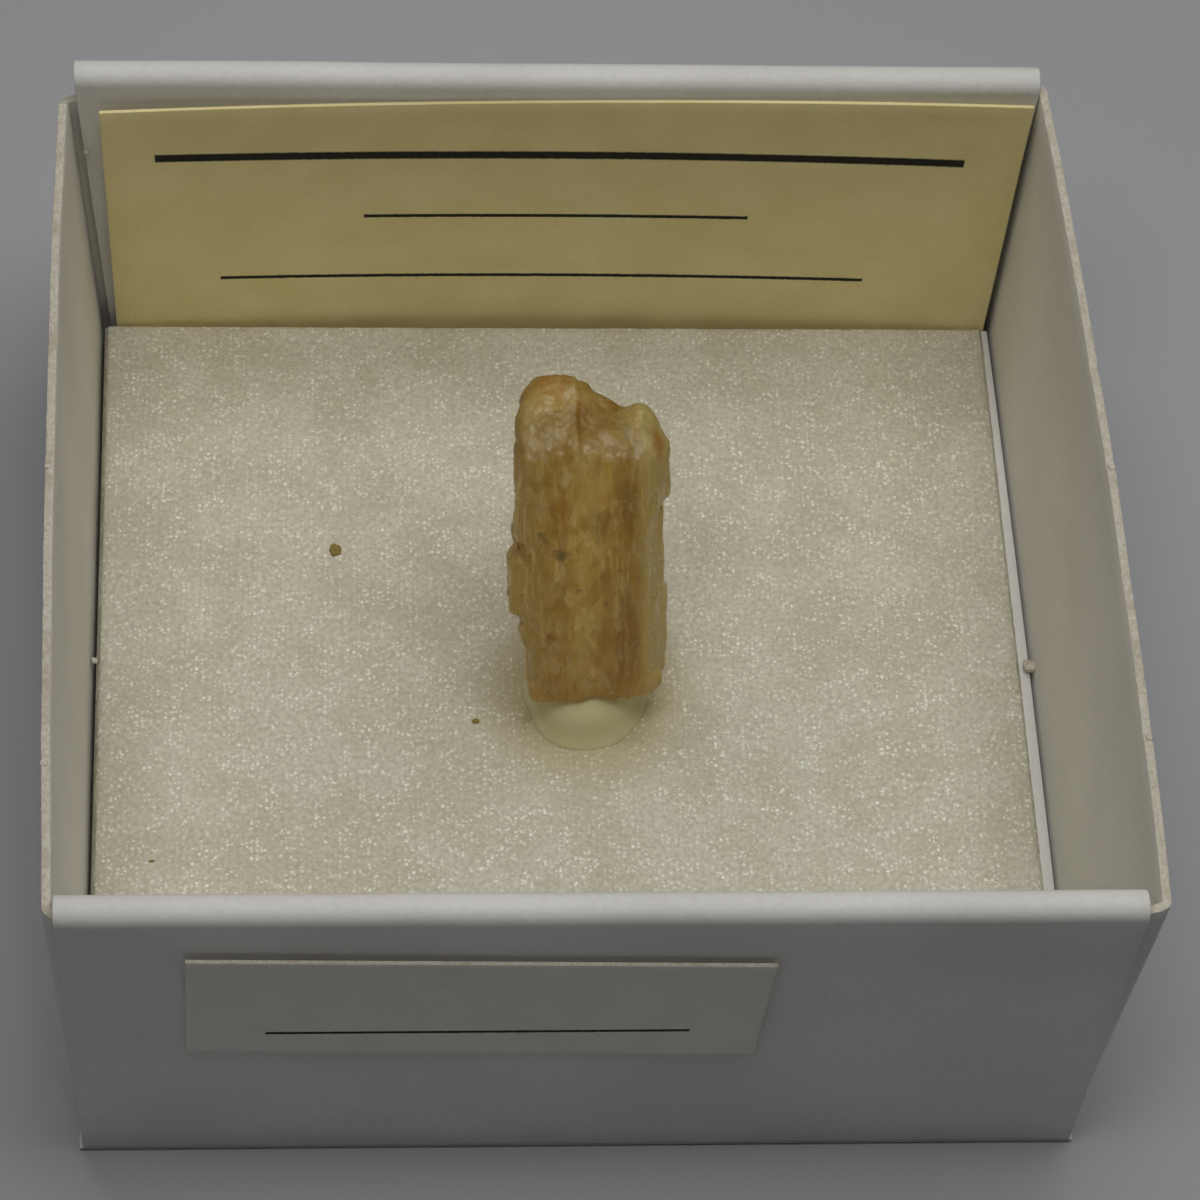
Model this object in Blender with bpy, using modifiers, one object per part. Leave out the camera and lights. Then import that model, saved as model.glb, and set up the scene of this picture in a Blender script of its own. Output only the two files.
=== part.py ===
"""A topaz crystal standing on a blob of putty in a small folded card specimen tray.

The tray is one folded card blank. A foam sheet lies on its floor liner, the putty sits on the
foam and holds the crystal, a pale card stands against the back wall and a small one is glued
on the front. Metres, +Z up, +Y to the back, origin under the middle of the tray's base.
"""

import math
import random
from collections import namedtuple

import bmesh
import bpy
from mathutils import Matrix, Vector

MM = 0.001
TOUCH_GAP = 0.3 * MM
ON_PLANE = 1e-6

# Card tray. The rolled walls are the front and back ones, the side walls are single card.
TRAY_WIDTH = 40.0 * MM
TRAY_DEPTH = 39.7 * MM
RIM_HEIGHT = 20.2 * MM
CARD = 0.35 * MM
ROLL_THICKNESS = 1.3 * MM
ROLL_LENGTH = 39.5 * MM
ROLL_OUTER_RADIUS = 0.55 * MM
ROLL_INNER_RADIUS = 0.4 * MM
INNER_PANEL_FOOT = 38.8 * MM
PANEL_LAP = 0.05 * MM
SIDE_HEIGHT = 19.4 * MM
SIDE_LEVELS = (2.2 * MM, 6.0 * MM, 12.0 * MM, SIDE_HEIGHT)
SIDE_LENGTHS = 12
TAB_LENGTH = 12.0 * MM
CORNER_RADIUS = 0.55 * MM
CORNER_STEPS = 4
BASE_EDGE_RADIUS = 0.25 * MM
LINER_TOP = 2.0 * MM
LINER_SIDE_GAP = 0.2 * MM
LINER_END_GAP = 0.1 * MM
NICK_SIZE = Vector((0.3, 0.6, 0.25)) * MM
ROUNDING_STEPS = 3

# The tray has been handled: its back is pushed left, and its side walls lean out at the front
# and the back and bow out between them (front, back and bow, for the left and right walls).
# The left wall's back corner is torn down.
BACK_SHIFT_FOOT = -0.35 * MM
BACK_SHIFT_RIM = -0.6 * MM
LEAN = {-1: (0.36 * MM, 0.56 * MM, 0.25 * MM), 1: (0.88 * MM, 0.22 * MM, 0.45 * MM)}
LEAN_POWER = 0.75
NICKS = {-1: (0.2 * MM, -12.9 * MM), 1: (0.2 * MM, -11.9 * MM)}
TORN_LENGTH = 0.6 * MM
TORN_DROP = 1.2 * MM
SIDE_NAMES = {-1: "left", 1: "right"}
END_NAMES = {-1: "front", 1: "back"}

# Foam sheet
FOAM_LEFT = -19.35 * MM
FOAM_RIGHT = 18.75 * MM
FOAM_FRONT = -18.2 * MM
FOAM_BACK = 17.7 * MM
FOAM_TOP = 4.0 * MM
FOAM_EDGE = 0.25 * MM

# Putty. Its outline swells a little in 3 and in 5 places round its middle.
PUTTY_CENTRE = Vector((0.6, -1.15, 4.0)) * MM
PUTTY_RADIUS = 2.8 * MM
PUTTY_HEIGHT = 2.4 * MM
PUTTY_FULLNESS = 0.55
PUTTY_SWELLS = ((3, 0.035, 0.6), (5, 0.025, 0.0))
SOCKET_LOW = Vector((-2.7, 0.0, 0.0)) * MM
SOCKET_HIGH = Vector((3.3, 3.9, 6.0)) * MM

# The two cards
LABEL_WIDTH = 38.3 * MM
LABEL_HEIGHT = 17.2 * MM
LABEL_CENTRE_X = 0.24 * MM
LABEL_BOW = 0.2 * MM
LABEL_SHORT_END = 0.8 * MM
LABEL_THICKNESS = 0.25 * MM
NUMBER_SIZE = Vector((21.6, 0.25, 7.75)) * MM
NUMBER_CENTRE = Vector((-4.45, 0.0, 13.3)) * MM
NUMBER_TURN = math.radians(1.7)

# Crystal, in its own frame: x to its right, y into its thickness, z along its length, with
# the origin in the middle of its cleaved base's front edge.
CRYSTAL_FOOT = Vector((0.71, -2.76, 6.3)) * MM
CRYSTAL_AXIS = Vector((-0.047, 0.342, 0.939))
CORE_LOW = Vector((-2.4, 0.15, 0.0)) * MM
CORE_HIGH = Vector((2.2, 3.7, 12.4)) * MM

# Each growth column, in mm, and how its broken top slopes to the right and to the back.
Column = namedtuple("Column", "left right front back foot top slope_x slope_y")
COLUMNS = {
    "apex": Column(-1.95, -0.48, 0.03, 3.85, 0.0, 13.25, 0.05, 0.3),
    "apex_step": Column(-0.75, 0.14, 0.9, 3.78, 7.0, 13.42, -0.95, 0.07),
    "middle": Column(-0.56, 1.35, 0.12, 3.65, 0.0, 13.2, -0.3, -0.13),
    "notch_side": Column(1.2, 2.3, 0.2, 3.05, 0.0, 12.95, 0.3, -0.12),
    "left_band": Column(-2.54, -1.8, 0.0, 3.4, 0.0, 13.55, 0.45, 0.32),
    "left_upper": Column(-2.88, -2.3, 0.3, 3.1, 7.9, 12.75, 0.6, 0.1),
    "left_notch": Column(-2.78, -2.2, 0.45, 3.3, 9.7, 13.2, 0.7, 0.0),
    "left_fringe": Column(-3.25, -2.3, 0.45, 2.4, 4.3, 7.1, -0.5, 0.1),
    "left_tooth": Column(-3.08, -2.3, 0.7, 2.6, 5.3, 8.0, 0.2, 0.2),
    "back_left": Column(-2.68, -1.4, 1.5, 3.75, 3.0, 13.55, 0.25, 0.05),
    "shoulder": Column(2.12, 3.6, 0.35, 2.75, 9.1, 12.4, -1.25, -0.1),
    "right_middle": Column(1.9, 3.3, 0.25, 2.95, 3.6, 9.6, 0.0, 0.0),
    "right_lower": Column(1.9, 3.5, 0.3, 3.0, 0.0, 4.7, -0.6, 0.1),
}
COLUMN_EDGE = 0.09 * MM
SHORTEST_SOFT_EDGE = 0.5 * MM

# How far right the steep facet of each right-hand column reaches, at the facet's depth.
FACET_REACH = {"shoulder": 3.4 * MM, "right_middle": 3.05 * MM, "right_lower": 3.28 * MM}
FACET_DEPTH = 2.1 * MM
FACET_NORMAL = Vector((0.928, -0.371, 0.0))
REAR_FACET_NORMAL = Vector((0.75, 0.66, 0.0))
BACK_NORMALS = (Vector((0.6, 0.8, 0.0)), Vector((-0.6, 0.8, 0.0)))
BACK_REACH = 3.62 * MM

# Ribs of the lengthwise striations, the lump low on the left, and the pits of the front
FRONT_RIBS = 13
FRONT_RIB_SPAN = (-2.35 * MM, 2.15 * MM)
FRONT_RIB_TOP = 12.3 * MM
FRONT_RIB_LENGTH = (4.0 * MM, 9.0 * MM)
FRONT_RIB_ROOT = 0.6 * MM
RIB_PROUD = (0.05 * MM, 0.13 * MM)
RIB_WIDTH = (0.16 * MM, 0.42 * MM)
RIB_EDGE = 0.045 * MM
FACET_RIBS = 5
FACET_RIB_START = Vector((3.05, 2.1, 0.0)) * MM
FACET_RIB_SPACING = 0.38 * MM
FACET_RIB_LENGTH = 6.5 * MM
FACET_RIB_ROOT = 0.5 * MM
LUMP_RADII = Vector((0.62, 0.7, 1.0)) * MM
LUMP_CENTRE = Vector((-2.32, 0.62, 3.35)) * MM
PITS = 16
PIT_RADIUS = (0.12 * MM, 0.26 * MM)
PIT_STRETCH = (1.0, 2.6)
PIT_FIELD = ((-2.3, 2.0), (-0.02, 0.1), (1.0, 12.5))
SEED = 7


def in_collection(name):
    collection = bpy.data.collections.get(name)
    if collection is None:
        collection = bpy.data.collections.new(name)
        bpy.context.scene.collection.children.link(collection)
    return collection


def as_object(bm, name, collection):
    bmesh.ops.recalc_face_normals(bm, faces=bm.faces)
    mesh = bpy.data.meshes.new(name)
    bm.to_mesh(mesh)
    bm.free()
    obj = bpy.data.objects.new(name, mesh)
    collection.objects.link(obj)
    return obj


def as_helper(bm, name, collection):
    obj = as_object(bm, name, collection)
    obj.hide_render = True
    obj.display_type = "WIRE"
    return obj


def material(name, colour, roughness, transmission=0.0):
    made = bpy.data.materials.new(name)
    made.use_nodes = True
    shader = made.node_tree.nodes["Principled BSDF"]
    shader.inputs["Base Color"].default_value = (*colour, 1.0)
    shader.inputs["Roughness"].default_value = roughness
    shader.inputs["Metallic"].default_value = 0.0
    shader.inputs["Transmission Weight"].default_value = transmission
    return made


def combine(obj, operation, collection, solver="EXACT"):
    boolean = obj.modifiers.new(operation.lower(), "BOOLEAN")
    boolean.operation = operation
    boolean.solver = solver
    boolean.operand_type = "COLLECTION"
    boolean.collection = collection


def box(low, high):
    """A box between two corners, as a bmesh."""
    bm = bmesh.new()
    bmesh.ops.create_cube(bm, size=1.0)
    low = Vector(low)
    high = Vector(high)
    bmesh.ops.scale(bm, vec=high - low, verts=bm.verts)
    bmesh.ops.translate(bm, vec=(low + high) / 2, verts=bm.verts)
    return bm


def round_edges(bm, chosen, radius, segments=ROUNDING_STEPS):
    edges = [edge for edge in bm.edges if chosen(edge)]
    bmesh.ops.bevel(
        bm, geom=edges, offset=radius, offset_type="OFFSET", segments=segments,
        profile=0.5, affect="EDGES", clamp_overlap=True, material=-1,
    )


def slice_off(bm, point, normal):
    """Cuts away what lies beyond a plane and closes the cut with one face."""
    everything = list(bm.verts) + list(bm.edges) + list(bm.faces)
    cut = bmesh.ops.bisect_plane(
        bm, geom=everything, dist=ON_PLANE / 10, plane_co=point, plane_no=normal, clear_outer=True,
    )
    rim = [part for part in cut["geom_cut"] if isinstance(part, bmesh.types.BMEdge)]
    if rim:
        bmesh.ops.holes_fill(bm, edges=rim, sides=0)


def along_depth(y):
    """0 at the tray's front, 1 at its back."""
    return y / TRAY_DEPTH + 0.5


def push_back_left(bm):
    """Shifts every point as the handled tray's back has been shifted."""
    for vert in bm.verts:
        height = vert.co.z / RIM_HEIGHT
        shift = BACK_SHIFT_FOOT + (BACK_SHIFT_RIM - BACK_SHIFT_FOOT) * height
        vert.co.x += shift * along_depth(vert.co.y)


def side_lean(side, y, z):
    """How far a side wall leans out at a place on it."""
    front, back, bow = LEAN[side]
    along = along_depth(y)
    most = front + (back - front) * along + bow * 4 * along * (1 - along)
    return side * most * max(z / RIM_HEIGHT, 0.0) ** LEAN_POWER


def wall_plan(wall_x, tab_y, turn):
    """A side wall and its two tabs from above: tab end, round corner, wall, corner, tab end."""
    front = [(wall_x - TAB_LENGTH, -tab_y)]
    for step in range(CORNER_STEPS + 1):
        angle = math.radians(90 * (step / CORNER_STEPS - 1))
        x = wall_x - turn + turn * math.cos(angle)
        front.append((x, turn - tab_y + turn * math.sin(angle)))
    straight = [
        (wall_x, (tab_y - turn) * (2 * step / SIDE_LENGTHS - 1)) for step in range(1, SIDE_LENGTHS)
    ]
    torn = (wall_x, tab_y - turn - TORN_LENGTH)
    return front + straight + [torn] + [(x, -y) for x, y in reversed(front)]


def side_wall(side, collection):
    """One side wall with the tabs folded from its ends, as a sheet with thickness."""
    wall_x = TRAY_WIDTH / 2 - CARD / 2
    tab_y = TRAY_DEPTH / 2 - ROLL_THICKNESS / 2
    turn = CORNER_RADIUS - CARD / 2
    bm = bmesh.new()
    foot = [bm.verts.new((side * x, y, BASE_EDGE_RADIUS)) for x, y in wall_plan(wall_x, tab_y, turn)]
    rim = [bm.edges.new(pair) for pair in zip(foot, foot[1:])]
    below = BASE_EDGE_RADIUS
    for height in SIDE_LEVELS:
        grown = bmesh.ops.extrude_edge_only(bm, edges=rim)["geom"]
        moved = [part for part in grown if isinstance(part, bmesh.types.BMVert)]
        rim = [part for part in grown if isinstance(part, bmesh.types.BMEdge)]
        bmesh.ops.translate(bm, vec=(0, 0, height - below), verts=moved)
        below = height
    for vert in bm.verts:
        share = (abs(vert.co.x) - wall_x + turn) / turn
        if share > 0:
            vert.co.x += min(share, 1.0) * side_lean(side, vert.co.y, vert.co.z)
        if side < 0 and vert.co.z > SIDE_HEIGHT - ON_PLANE and vert.co.y > tab_y - turn - ON_PLANE:
            vert.co.z -= TORN_DROP
    push_back_left(bm)
    wall = as_helper(bm, f"side_wall_{SIDE_NAMES[side]}", collection)
    thick = wall.modifiers.new("card", "SOLIDIFY")
    thick.thickness = CARD
    thick.offset = 0.0
    thick.use_even_offset = True


def is_rim_edge(edge, y):
    """Whether an edge runs along the rim at this depth."""
    return all(
        abs(vert.co.y - y) < ON_PLANE and abs(vert.co.z - RIM_HEIGHT) < ON_PLANE
        for vert in edge.verts
    )


def rolled_wall(end, collection):
    """The front (-1) or back (1) wall: outer panel, folded rim and inner panel."""
    outer = end * TRAY_DEPTH / 2
    inner = end * (TRAY_DEPTH / 2 - ROLL_THICKNESS)
    middle = (outer + inner) / 2
    half = ROLL_LENGTH / 2
    bm = box((-half, min(outer, middle), BASE_EDGE_RADIUS), (half, max(outer, middle), RIM_HEIGHT))
    round_edges(bm, lambda edge: is_rim_edge(edge, outer), ROLL_OUTER_RADIUS)
    push_back_left(bm)
    as_helper(bm, f"outer_panel_{END_NAMES[end]}", collection)

    # The inner panel is cut narrower towards its foot, where the side walls lean less.
    lap = middle + end * PANEL_LAP
    bm = box((-half, min(inner, lap), LINER_TOP - CARD), (half, max(inner, lap), RIM_HEIGHT))
    round_edges(bm, lambda edge: is_rim_edge(edge, inner), ROLL_INNER_RADIUS)
    for vert in bm.verts:
        height = (vert.co.z - LINER_TOP) / (RIM_HEIGHT - LINER_TOP)
        wide = INNER_PANEL_FOOT + (ROLL_LENGTH - INNER_PANEL_FOOT) * max(height, 0)
        vert.co.x *= wide / ROLL_LENGTH
    push_back_left(bm)
    as_helper(bm, f"inner_panel_{END_NAMES[end]}", collection)


def wall_nicks(side, collection):
    """Small stubs on a side wall's cut top, where the blank was joined to its sheet."""
    for number, y in enumerate(NICKS[side]):
        middle = Vector((side * (TRAY_WIDTH / 2 - CARD / 2), y, SIDE_HEIGHT))
        middle.x += side_lean(side, y, SIDE_HEIGHT)
        bm = box(middle - NICK_SIZE / 2, middle + NICK_SIZE / 2)
        push_back_left(bm)
        as_helper(bm, f"nick_{SIDE_NAMES[side]}_{number}", collection)


def floor_liner(collection):
    """The raised floor that the front and back walls fold in to."""
    half_x = TRAY_WIDTH / 2 - CARD - LINER_SIDE_GAP
    half_y = TRAY_DEPTH / 2 - ROLL_THICKNESS / 2 - LINER_END_GAP
    bm = box((-half_x, -half_y, LINER_TOP - CARD), (half_x, half_y, LINER_TOP))
    push_back_left(bm)
    as_helper(bm, "floor_liner", collection)


def card_tray(collection):
    pieces = in_collection("tray_pieces")
    for side in SIDE_NAMES:
        side_wall(side, pieces)
        wall_nicks(side, pieces)
    for end in END_NAMES:
        rolled_wall(end, pieces)
    floor_liner(pieces)
    corner = Vector((TRAY_WIDTH / 2, TRAY_DEPTH / 2, 0))
    bm = box(-corner, corner + Vector((0, 0, CARD)))
    round_edges(bm, lambda edge: max(v.co.z for v in edge.verts) < ON_PLANE, BASE_EDGE_RADIUS)
    push_back_left(bm)
    tray = as_object(bm, "card_tray", collection)
    combine(tray, "UNION", pieces)
    tray.data.materials.append(material("white_coated_card", (0.80, 0.80, 0.79), 0.45))


def foam_pad(collection):
    low = (FOAM_LEFT, FOAM_FRONT, LINER_TOP + TOUCH_GAP)
    bm = box(low, (FOAM_RIGHT, FOAM_BACK, FOAM_TOP))
    round_edges(bm, lambda edge: min(v.co.z for v in edge.verts) > FOAM_TOP - ON_PLANE, FOAM_EDGE)
    push_back_left(bm)
    foam = as_object(bm, "foam_pad", collection)
    foam.data.materials.append(material("white_polyethylene_foam", (0.82, 0.81, 0.77), 0.55))


def crystal_frame():
    """The matrix that stands the crystal up, leaning back and a little left."""
    along = CRYSTAL_AXIS.normalized()
    right = Vector((1, 0, 0))
    right = (right - along * right.dot(along)).normalized()
    deep = along.cross(right)
    turn = Matrix((right, deep, along)).transposed().to_4x4()
    return Matrix.Translation(CRYSTAL_FOOT) @ turn


def is_lengthwise(edge):
    run = edge.verts[1].co - edge.verts[0].co
    return abs(run.z) > 0.9 * run.length


def cut_back(bm):
    """The two slanting faces at the back of the prism."""
    for normal in BACK_NORMALS:
        slice_off(bm, normal * BACK_REACH, normal)


def growth_column(name, collection):
    column = COLUMNS[name]
    low = Vector((column.left, column.front, column.foot)) * MM
    high = Vector((column.right, column.back, column.top)) * MM
    middle = (low + high) / 2
    bm = box(low, high)
    for vert in bm.verts:
        if vert.co.z > high.z - ON_PLANE:
            vert.co.z += column.slope_x * (vert.co.x - middle.x)
            vert.co.z += column.slope_y * (vert.co.y - middle.y)
    if name in FACET_REACH:
        reach = Vector((FACET_REACH[name], FACET_DEPTH, 0))
        slice_off(bm, reach, FACET_NORMAL)
        slice_off(bm, reach, REAR_FACET_NORMAL)
    cut_back(bm)
    round_edges(
        bm,
        lambda edge: is_lengthwise(edge) and edge.calc_length() > SHORTEST_SOFT_EDGE,
        COLUMN_EDGE, 1,
    )
    as_helper(bm, f"column_{name}", collection)


def front_rib(number, draw, collection):
    """One lengthwise rib of the broad front, from the base or from part of the way up."""
    left, right = FRONT_RIB_SPAN
    x = left + (right - left) * (number + draw.uniform(0.1, 0.9)) / FRONT_RIBS
    half = draw.uniform(*RIB_WIDTH) / 2
    foot = draw.choice((0.0, draw.uniform(1, 7))) * MM
    top = min(foot + draw.uniform(*FRONT_RIB_LENGTH), FRONT_RIB_TOP)
    bm = box((x - half, -draw.uniform(*RIB_PROUD), foot), (x + half, FRONT_RIB_ROOT, top))
    round_edges(bm, is_lengthwise, RIB_EDGE, 1)
    as_helper(bm, f"front_rib_{number}", collection)


def facet_rib(number, draw, collection):
    """One lengthwise rib of the steep right facet."""
    along_facet = Vector((-FACET_NORMAL.y, FACET_NORMAL.x, 0))
    place = FACET_RIB_START - along_facet * FACET_RIB_SPACING * (number + 0.65)
    half = draw.uniform(*RIB_WIDTH) / 4
    foot = draw.uniform(0.0, 3.0) * MM
    proud = draw.uniform(*RIB_PROUD)
    bm = box((-FACET_RIB_ROOT, -half, foot), (proud, half, foot + FACET_RIB_LENGTH))
    turn = Matrix.Rotation(math.atan2(FACET_NORMAL.y, FACET_NORMAL.x), 4, "Z")
    bmesh.ops.transform(bm, matrix=Matrix.Translation(place) @ turn, verts=bm.verts)
    as_helper(bm, f"facet_rib_{number}", collection)


def left_lump(collection):
    bm = bmesh.new()
    bmesh.ops.create_icosphere(bm, subdivisions=2, radius=1.0)
    bmesh.ops.scale(bm, vec=LUMP_RADII, verts=bm.verts)
    bmesh.ops.translate(bm, vec=LUMP_CENTRE, verts=bm.verts)
    as_helper(bm, "left_lump", collection)


def etch_pit(number, draw, collection):
    bm = bmesh.new()
    bmesh.ops.create_icosphere(bm, subdivisions=1, radius=draw.uniform(*PIT_RADIUS))
    bmesh.ops.scale(bm, vec=(1.0, 0.8, draw.uniform(*PIT_STRETCH)), verts=bm.verts)
    place = Vector([draw.uniform(*span) for span in PIT_FIELD]) * MM
    bmesh.ops.translate(bm, vec=place, verts=bm.verts)
    as_helper(bm, f"pit_{number}", collection)


def topaz_crystal(collection, stand):
    """Columns grown together with ribs along them, broken at the top, cleaved at the base."""
    draw = random.Random(SEED)
    grown = in_collection("crystal_growth")
    for name in COLUMNS:
        growth_column(name, grown)
    for number in range(FRONT_RIBS):
        front_rib(number, draw, grown)
    for number in range(FACET_RIBS):
        facet_rib(number, draw, grown)
    left_lump(grown)
    pits = in_collection("crystal_pits")
    for number in range(PITS):
        etch_pit(number, draw, pits)

    bm = box(CORE_LOW, CORE_HIGH)
    cut_back(bm)
    crystal = as_object(bm, "topaz_crystal", collection)
    combine(crystal, "UNION", grown)
    # The pits cross the ribs at grazing angles, where the exact solver leaves holes.
    combine(crystal, "DIFFERENCE", pits, solver="MANIFOLD")
    for obj in [crystal, *grown.objects, *pits.objects]:
        obj.matrix_world = stand
    crystal.data.materials.append(material("honey_topaz", (0.62, 0.38, 0.13), 0.25, 0.6))


def mounting_putty(collection, stand):
    """A flat-bottomed blob with a socket a little larger than the crystal's foot."""
    bm = bmesh.new()
    bmesh.ops.create_uvsphere(bm, u_segments=28, v_segments=14, radius=PUTTY_RADIUS)
    for vert in bm.verts:
        out = min(vert.co.xy.length / PUTTY_RADIUS, 1.0)
        up = vert.co.z / PUTTY_RADIUS
        bearing = math.atan2(vert.co.y, vert.co.x)
        swell = sum(most * math.sin(places * bearing + turn) for places, most, turn in PUTTY_SWELLS)
        reach = PUTTY_RADIUS * (1 + swell) * out ** PUTTY_FULLNESS
        height = math.copysign(PUTTY_HEIGHT * abs(up) ** PUTTY_FULLNESS, up)
        vert.co = (reach * math.cos(bearing), reach * math.sin(bearing), height)
    slice_off(bm, (0, 0, TOUCH_GAP), Vector((0, 0, -1)))
    putty = as_object(bm, "mounting_putty", collection)
    putty.location = PUTTY_CENTRE

    socket = in_collection("putty_socket")
    spare = Vector((1, 1, 1)) * TOUCH_GAP
    bm = box(SOCKET_LOW - spare, SOCKET_HIGH + spare)
    as_helper(bm, "crystal_socket", socket).matrix_world = stand
    combine(putty, "DIFFERENCE", socket)
    putty.data.materials.append(material("pale_green_putty", (0.60, 0.58, 0.40), 0.5))


def specimen_label(collection):
    """The pale card that stands behind the foam, bowed forwards and cut lower at its left end."""
    bm = bmesh.new()
    bmesh.ops.create_grid(bm, x_segments=12, y_segments=2, size=0.5)
    turn = Matrix.Rotation(math.radians(90), 4, "X")
    bmesh.ops.transform(bm, matrix=turn, verts=bm.verts)
    bmesh.ops.scale(bm, vec=(LABEL_WIDTH, 1.0, LABEL_HEIGHT), verts=bm.verts)
    back = TRAY_DEPTH / 2 - ROLL_THICKNESS - TOUCH_GAP - LABEL_THICKNESS / 2
    foot = LINER_TOP + TOUCH_GAP
    for vert in bm.verts:
        from_middle = 2 * vert.co.x / LABEL_WIDTH
        vert.co.x += LABEL_CENTRE_X
        vert.co.y = back - LABEL_BOW * from_middle ** 2
        vert.co.z += LABEL_HEIGHT / 2
        vert.co.z *= 1 - LABEL_SHORT_END / LABEL_HEIGHT * (1 - from_middle) / 2
        vert.co.z += foot
    push_back_left(bm)
    label = as_object(bm, "specimen_label", collection)
    thick = label.modifiers.new("card", "SOLIDIFY")
    thick.thickness = LABEL_THICKNESS
    thick.offset = 0.0
    label.data.materials.append(material("pale_yellow_card", (0.78, 0.72, 0.47), 0.6))


def number_label(collection):
    """The small card glued to the tray's front, a little out of true."""
    bm = box(-NUMBER_SIZE / 2, NUMBER_SIZE / 2)
    label = as_object(bm, "number_label", collection)
    front = -TRAY_DEPTH / 2 - TOUCH_GAP - NUMBER_SIZE.y / 2
    label.location = NUMBER_CENTRE + Vector((0, front, 0))
    label.rotation_euler = (0, NUMBER_TURN, 0)
    label.data.materials.append(material("off_white_card", (0.74, 0.72, 0.66), 0.6))


def main():
    for obj in list(bpy.data.objects):
        bpy.data.objects.remove(obj, do_unlink=True)
    parts = in_collection("topaz_crystal_in_tray")
    stand = crystal_frame()
    card_tray(parts)
    foam_pad(parts)
    specimen_label(parts)
    number_label(parts)
    topaz_crystal(parts, stand)
    mounting_putty(parts, stand)


main()
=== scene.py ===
"""Looks of a topaz crystal on a blob of putty in its folded card specimen tray.

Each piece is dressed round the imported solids. Sizes in the code are millimetres until a mesh is
finished, colours are sRGB hex values, and places are in the frame's own axes.
"""

import math

import bmesh
import bpy
from bpy.props import BoolProperty, FloatProperty, FloatVectorProperty, IntProperty, PointerProperty
from mathutils import Matrix, Vector, noise


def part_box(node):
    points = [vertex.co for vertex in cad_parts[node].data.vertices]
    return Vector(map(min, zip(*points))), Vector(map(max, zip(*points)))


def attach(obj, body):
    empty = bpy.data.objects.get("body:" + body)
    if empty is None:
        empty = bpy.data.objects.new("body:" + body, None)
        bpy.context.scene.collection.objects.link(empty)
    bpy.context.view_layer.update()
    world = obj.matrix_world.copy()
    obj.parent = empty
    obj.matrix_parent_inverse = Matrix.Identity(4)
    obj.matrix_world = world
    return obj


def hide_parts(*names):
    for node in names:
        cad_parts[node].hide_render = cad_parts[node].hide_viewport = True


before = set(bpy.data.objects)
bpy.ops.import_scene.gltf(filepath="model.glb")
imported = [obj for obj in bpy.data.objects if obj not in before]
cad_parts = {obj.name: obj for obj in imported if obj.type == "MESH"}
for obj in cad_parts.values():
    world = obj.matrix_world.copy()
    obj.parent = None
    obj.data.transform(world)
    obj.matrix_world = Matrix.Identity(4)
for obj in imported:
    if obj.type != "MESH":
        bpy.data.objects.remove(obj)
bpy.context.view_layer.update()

bl_info = {
    "name": "Topaz crystal in a specimen tray",
    "version": (1, 0, 0),
    "blender": (4, 5, 0),
    "location": "3D View > Sidebar > Specimen",
    "description": "Builds a honey topaz crystal on putty in a small card tray with a foam sheet",
    "category": "Add Mesh",
}

MM = 0.001
BODY = "root"


def node_box(node):
    """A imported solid's lowest and highest corners, in millimetres."""
    low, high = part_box(node)
    return low / MM, high / MM


# Tray, in millimetres. The rolled walls are the front and back ones.
RIM = node_box("card_tray")[1].z
DEPTH = node_box("card_tray")[1].y * 2
WIDTH = 40.0
ROLL = 1.3
ROLL_HALF = 19.88
INNER_FOOT_HALF = 19.4
LINER_HALF = 19.45
LINER_TOP = 2.0
SIDE_HEIGHT = 19.4
TAB = 12.0
CORNER_RADIUS = 0.55
BASE_EDGE = 0.25
RIM_OUTER_RADIUS = 0.62
RIM_INNER_RADIUS = 0.6
LINER_FOLD_RADIUS = 0.3
BACK_SHIFT_FOOT = -0.35
BACK_SHIFT_RIM = -0.6
BOARD_BEVEL = 0.05

# For the left and the right wall, how far it leans out at its front and its back and is bowed
LEAN = {-1: (0.36, 0.56, 0.25), 1: (0.88, 0.22, 0.45)}
LEAN_POWER = 0.75

# Half sizes of a stub of torn card, its places along each side wall's cut top, how far it is set in
# there, and the places and relative sizes of the stubs inside the tray
NICK = Vector((0.12, 0.136, 0.048))
NICKS = {-1: (0.2, -12.9), 1: (0.2, -11.9)}
NICK_INSET = 0.17
INNER_NICKS = (
    ((19.72, 0.3, 3.9), 1.8), ((-19.66, 0.6, 3.97), 1.0), ((-19.65, 18.45, 15.4), 1.0)
)

# How much of the left wall's back corner is torn off
TORN_DROP = 1.2
TORN_REACH = 0.9

# Heights of the card's waves, how far they are moved inwards as a share of that, and how much of
# the rolled rims waves up and down
WALL_WAVE = 0.05
CUT_WAVE = 0.04
RIM_WAVE = 0.025
SIDE_INWARD = 0.6
STRIP_INWARD = 0.9
RIM_WAVED = 1.0

# How finely its card is divided: up and across a rolled wall, along and up a side wall
PANEL_STEPS = 12
STRIP_STEPS = 40
WALL_STEPS = 110
WALL_LEVELS = 16

# The liner's edge that is turned up beside the foam: its low and high corners
LINER_EDGE = (Vector((19.3, -18.25, 1.9)), Vector((19.5, 17.9, 3.6)))
LINER_EDGE_BEVEL = 0.08

# Foam sheet, with how deep its cells and its slow swell are
FOAM_TOP = node_box("foam_pad")[1].z
FOAM_LEFT = -19.62
FOAM_RIGHT = 19.36
FOAM_FRONT = -18.2
FOAM_BACK = 17.9
FOAM_STEP = 0.2
FOAM_SOFT_EDGE = 0.45
FOAM_CELL = 0.035
FOAM_SWELL = 0.02

# Where each crumb on the foam lies and its half sizes
CRUMBS = (
    ((-9.86, 6.03, 4.03), (0.22, 0.3, 0.09)),
    ((-3.99, -2.38, 4.02), (0.16, 0.1, 0.06)),
    ((-17.26, -8.89, 4.02), (0.12, 0.05, 0.04)),
)

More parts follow.
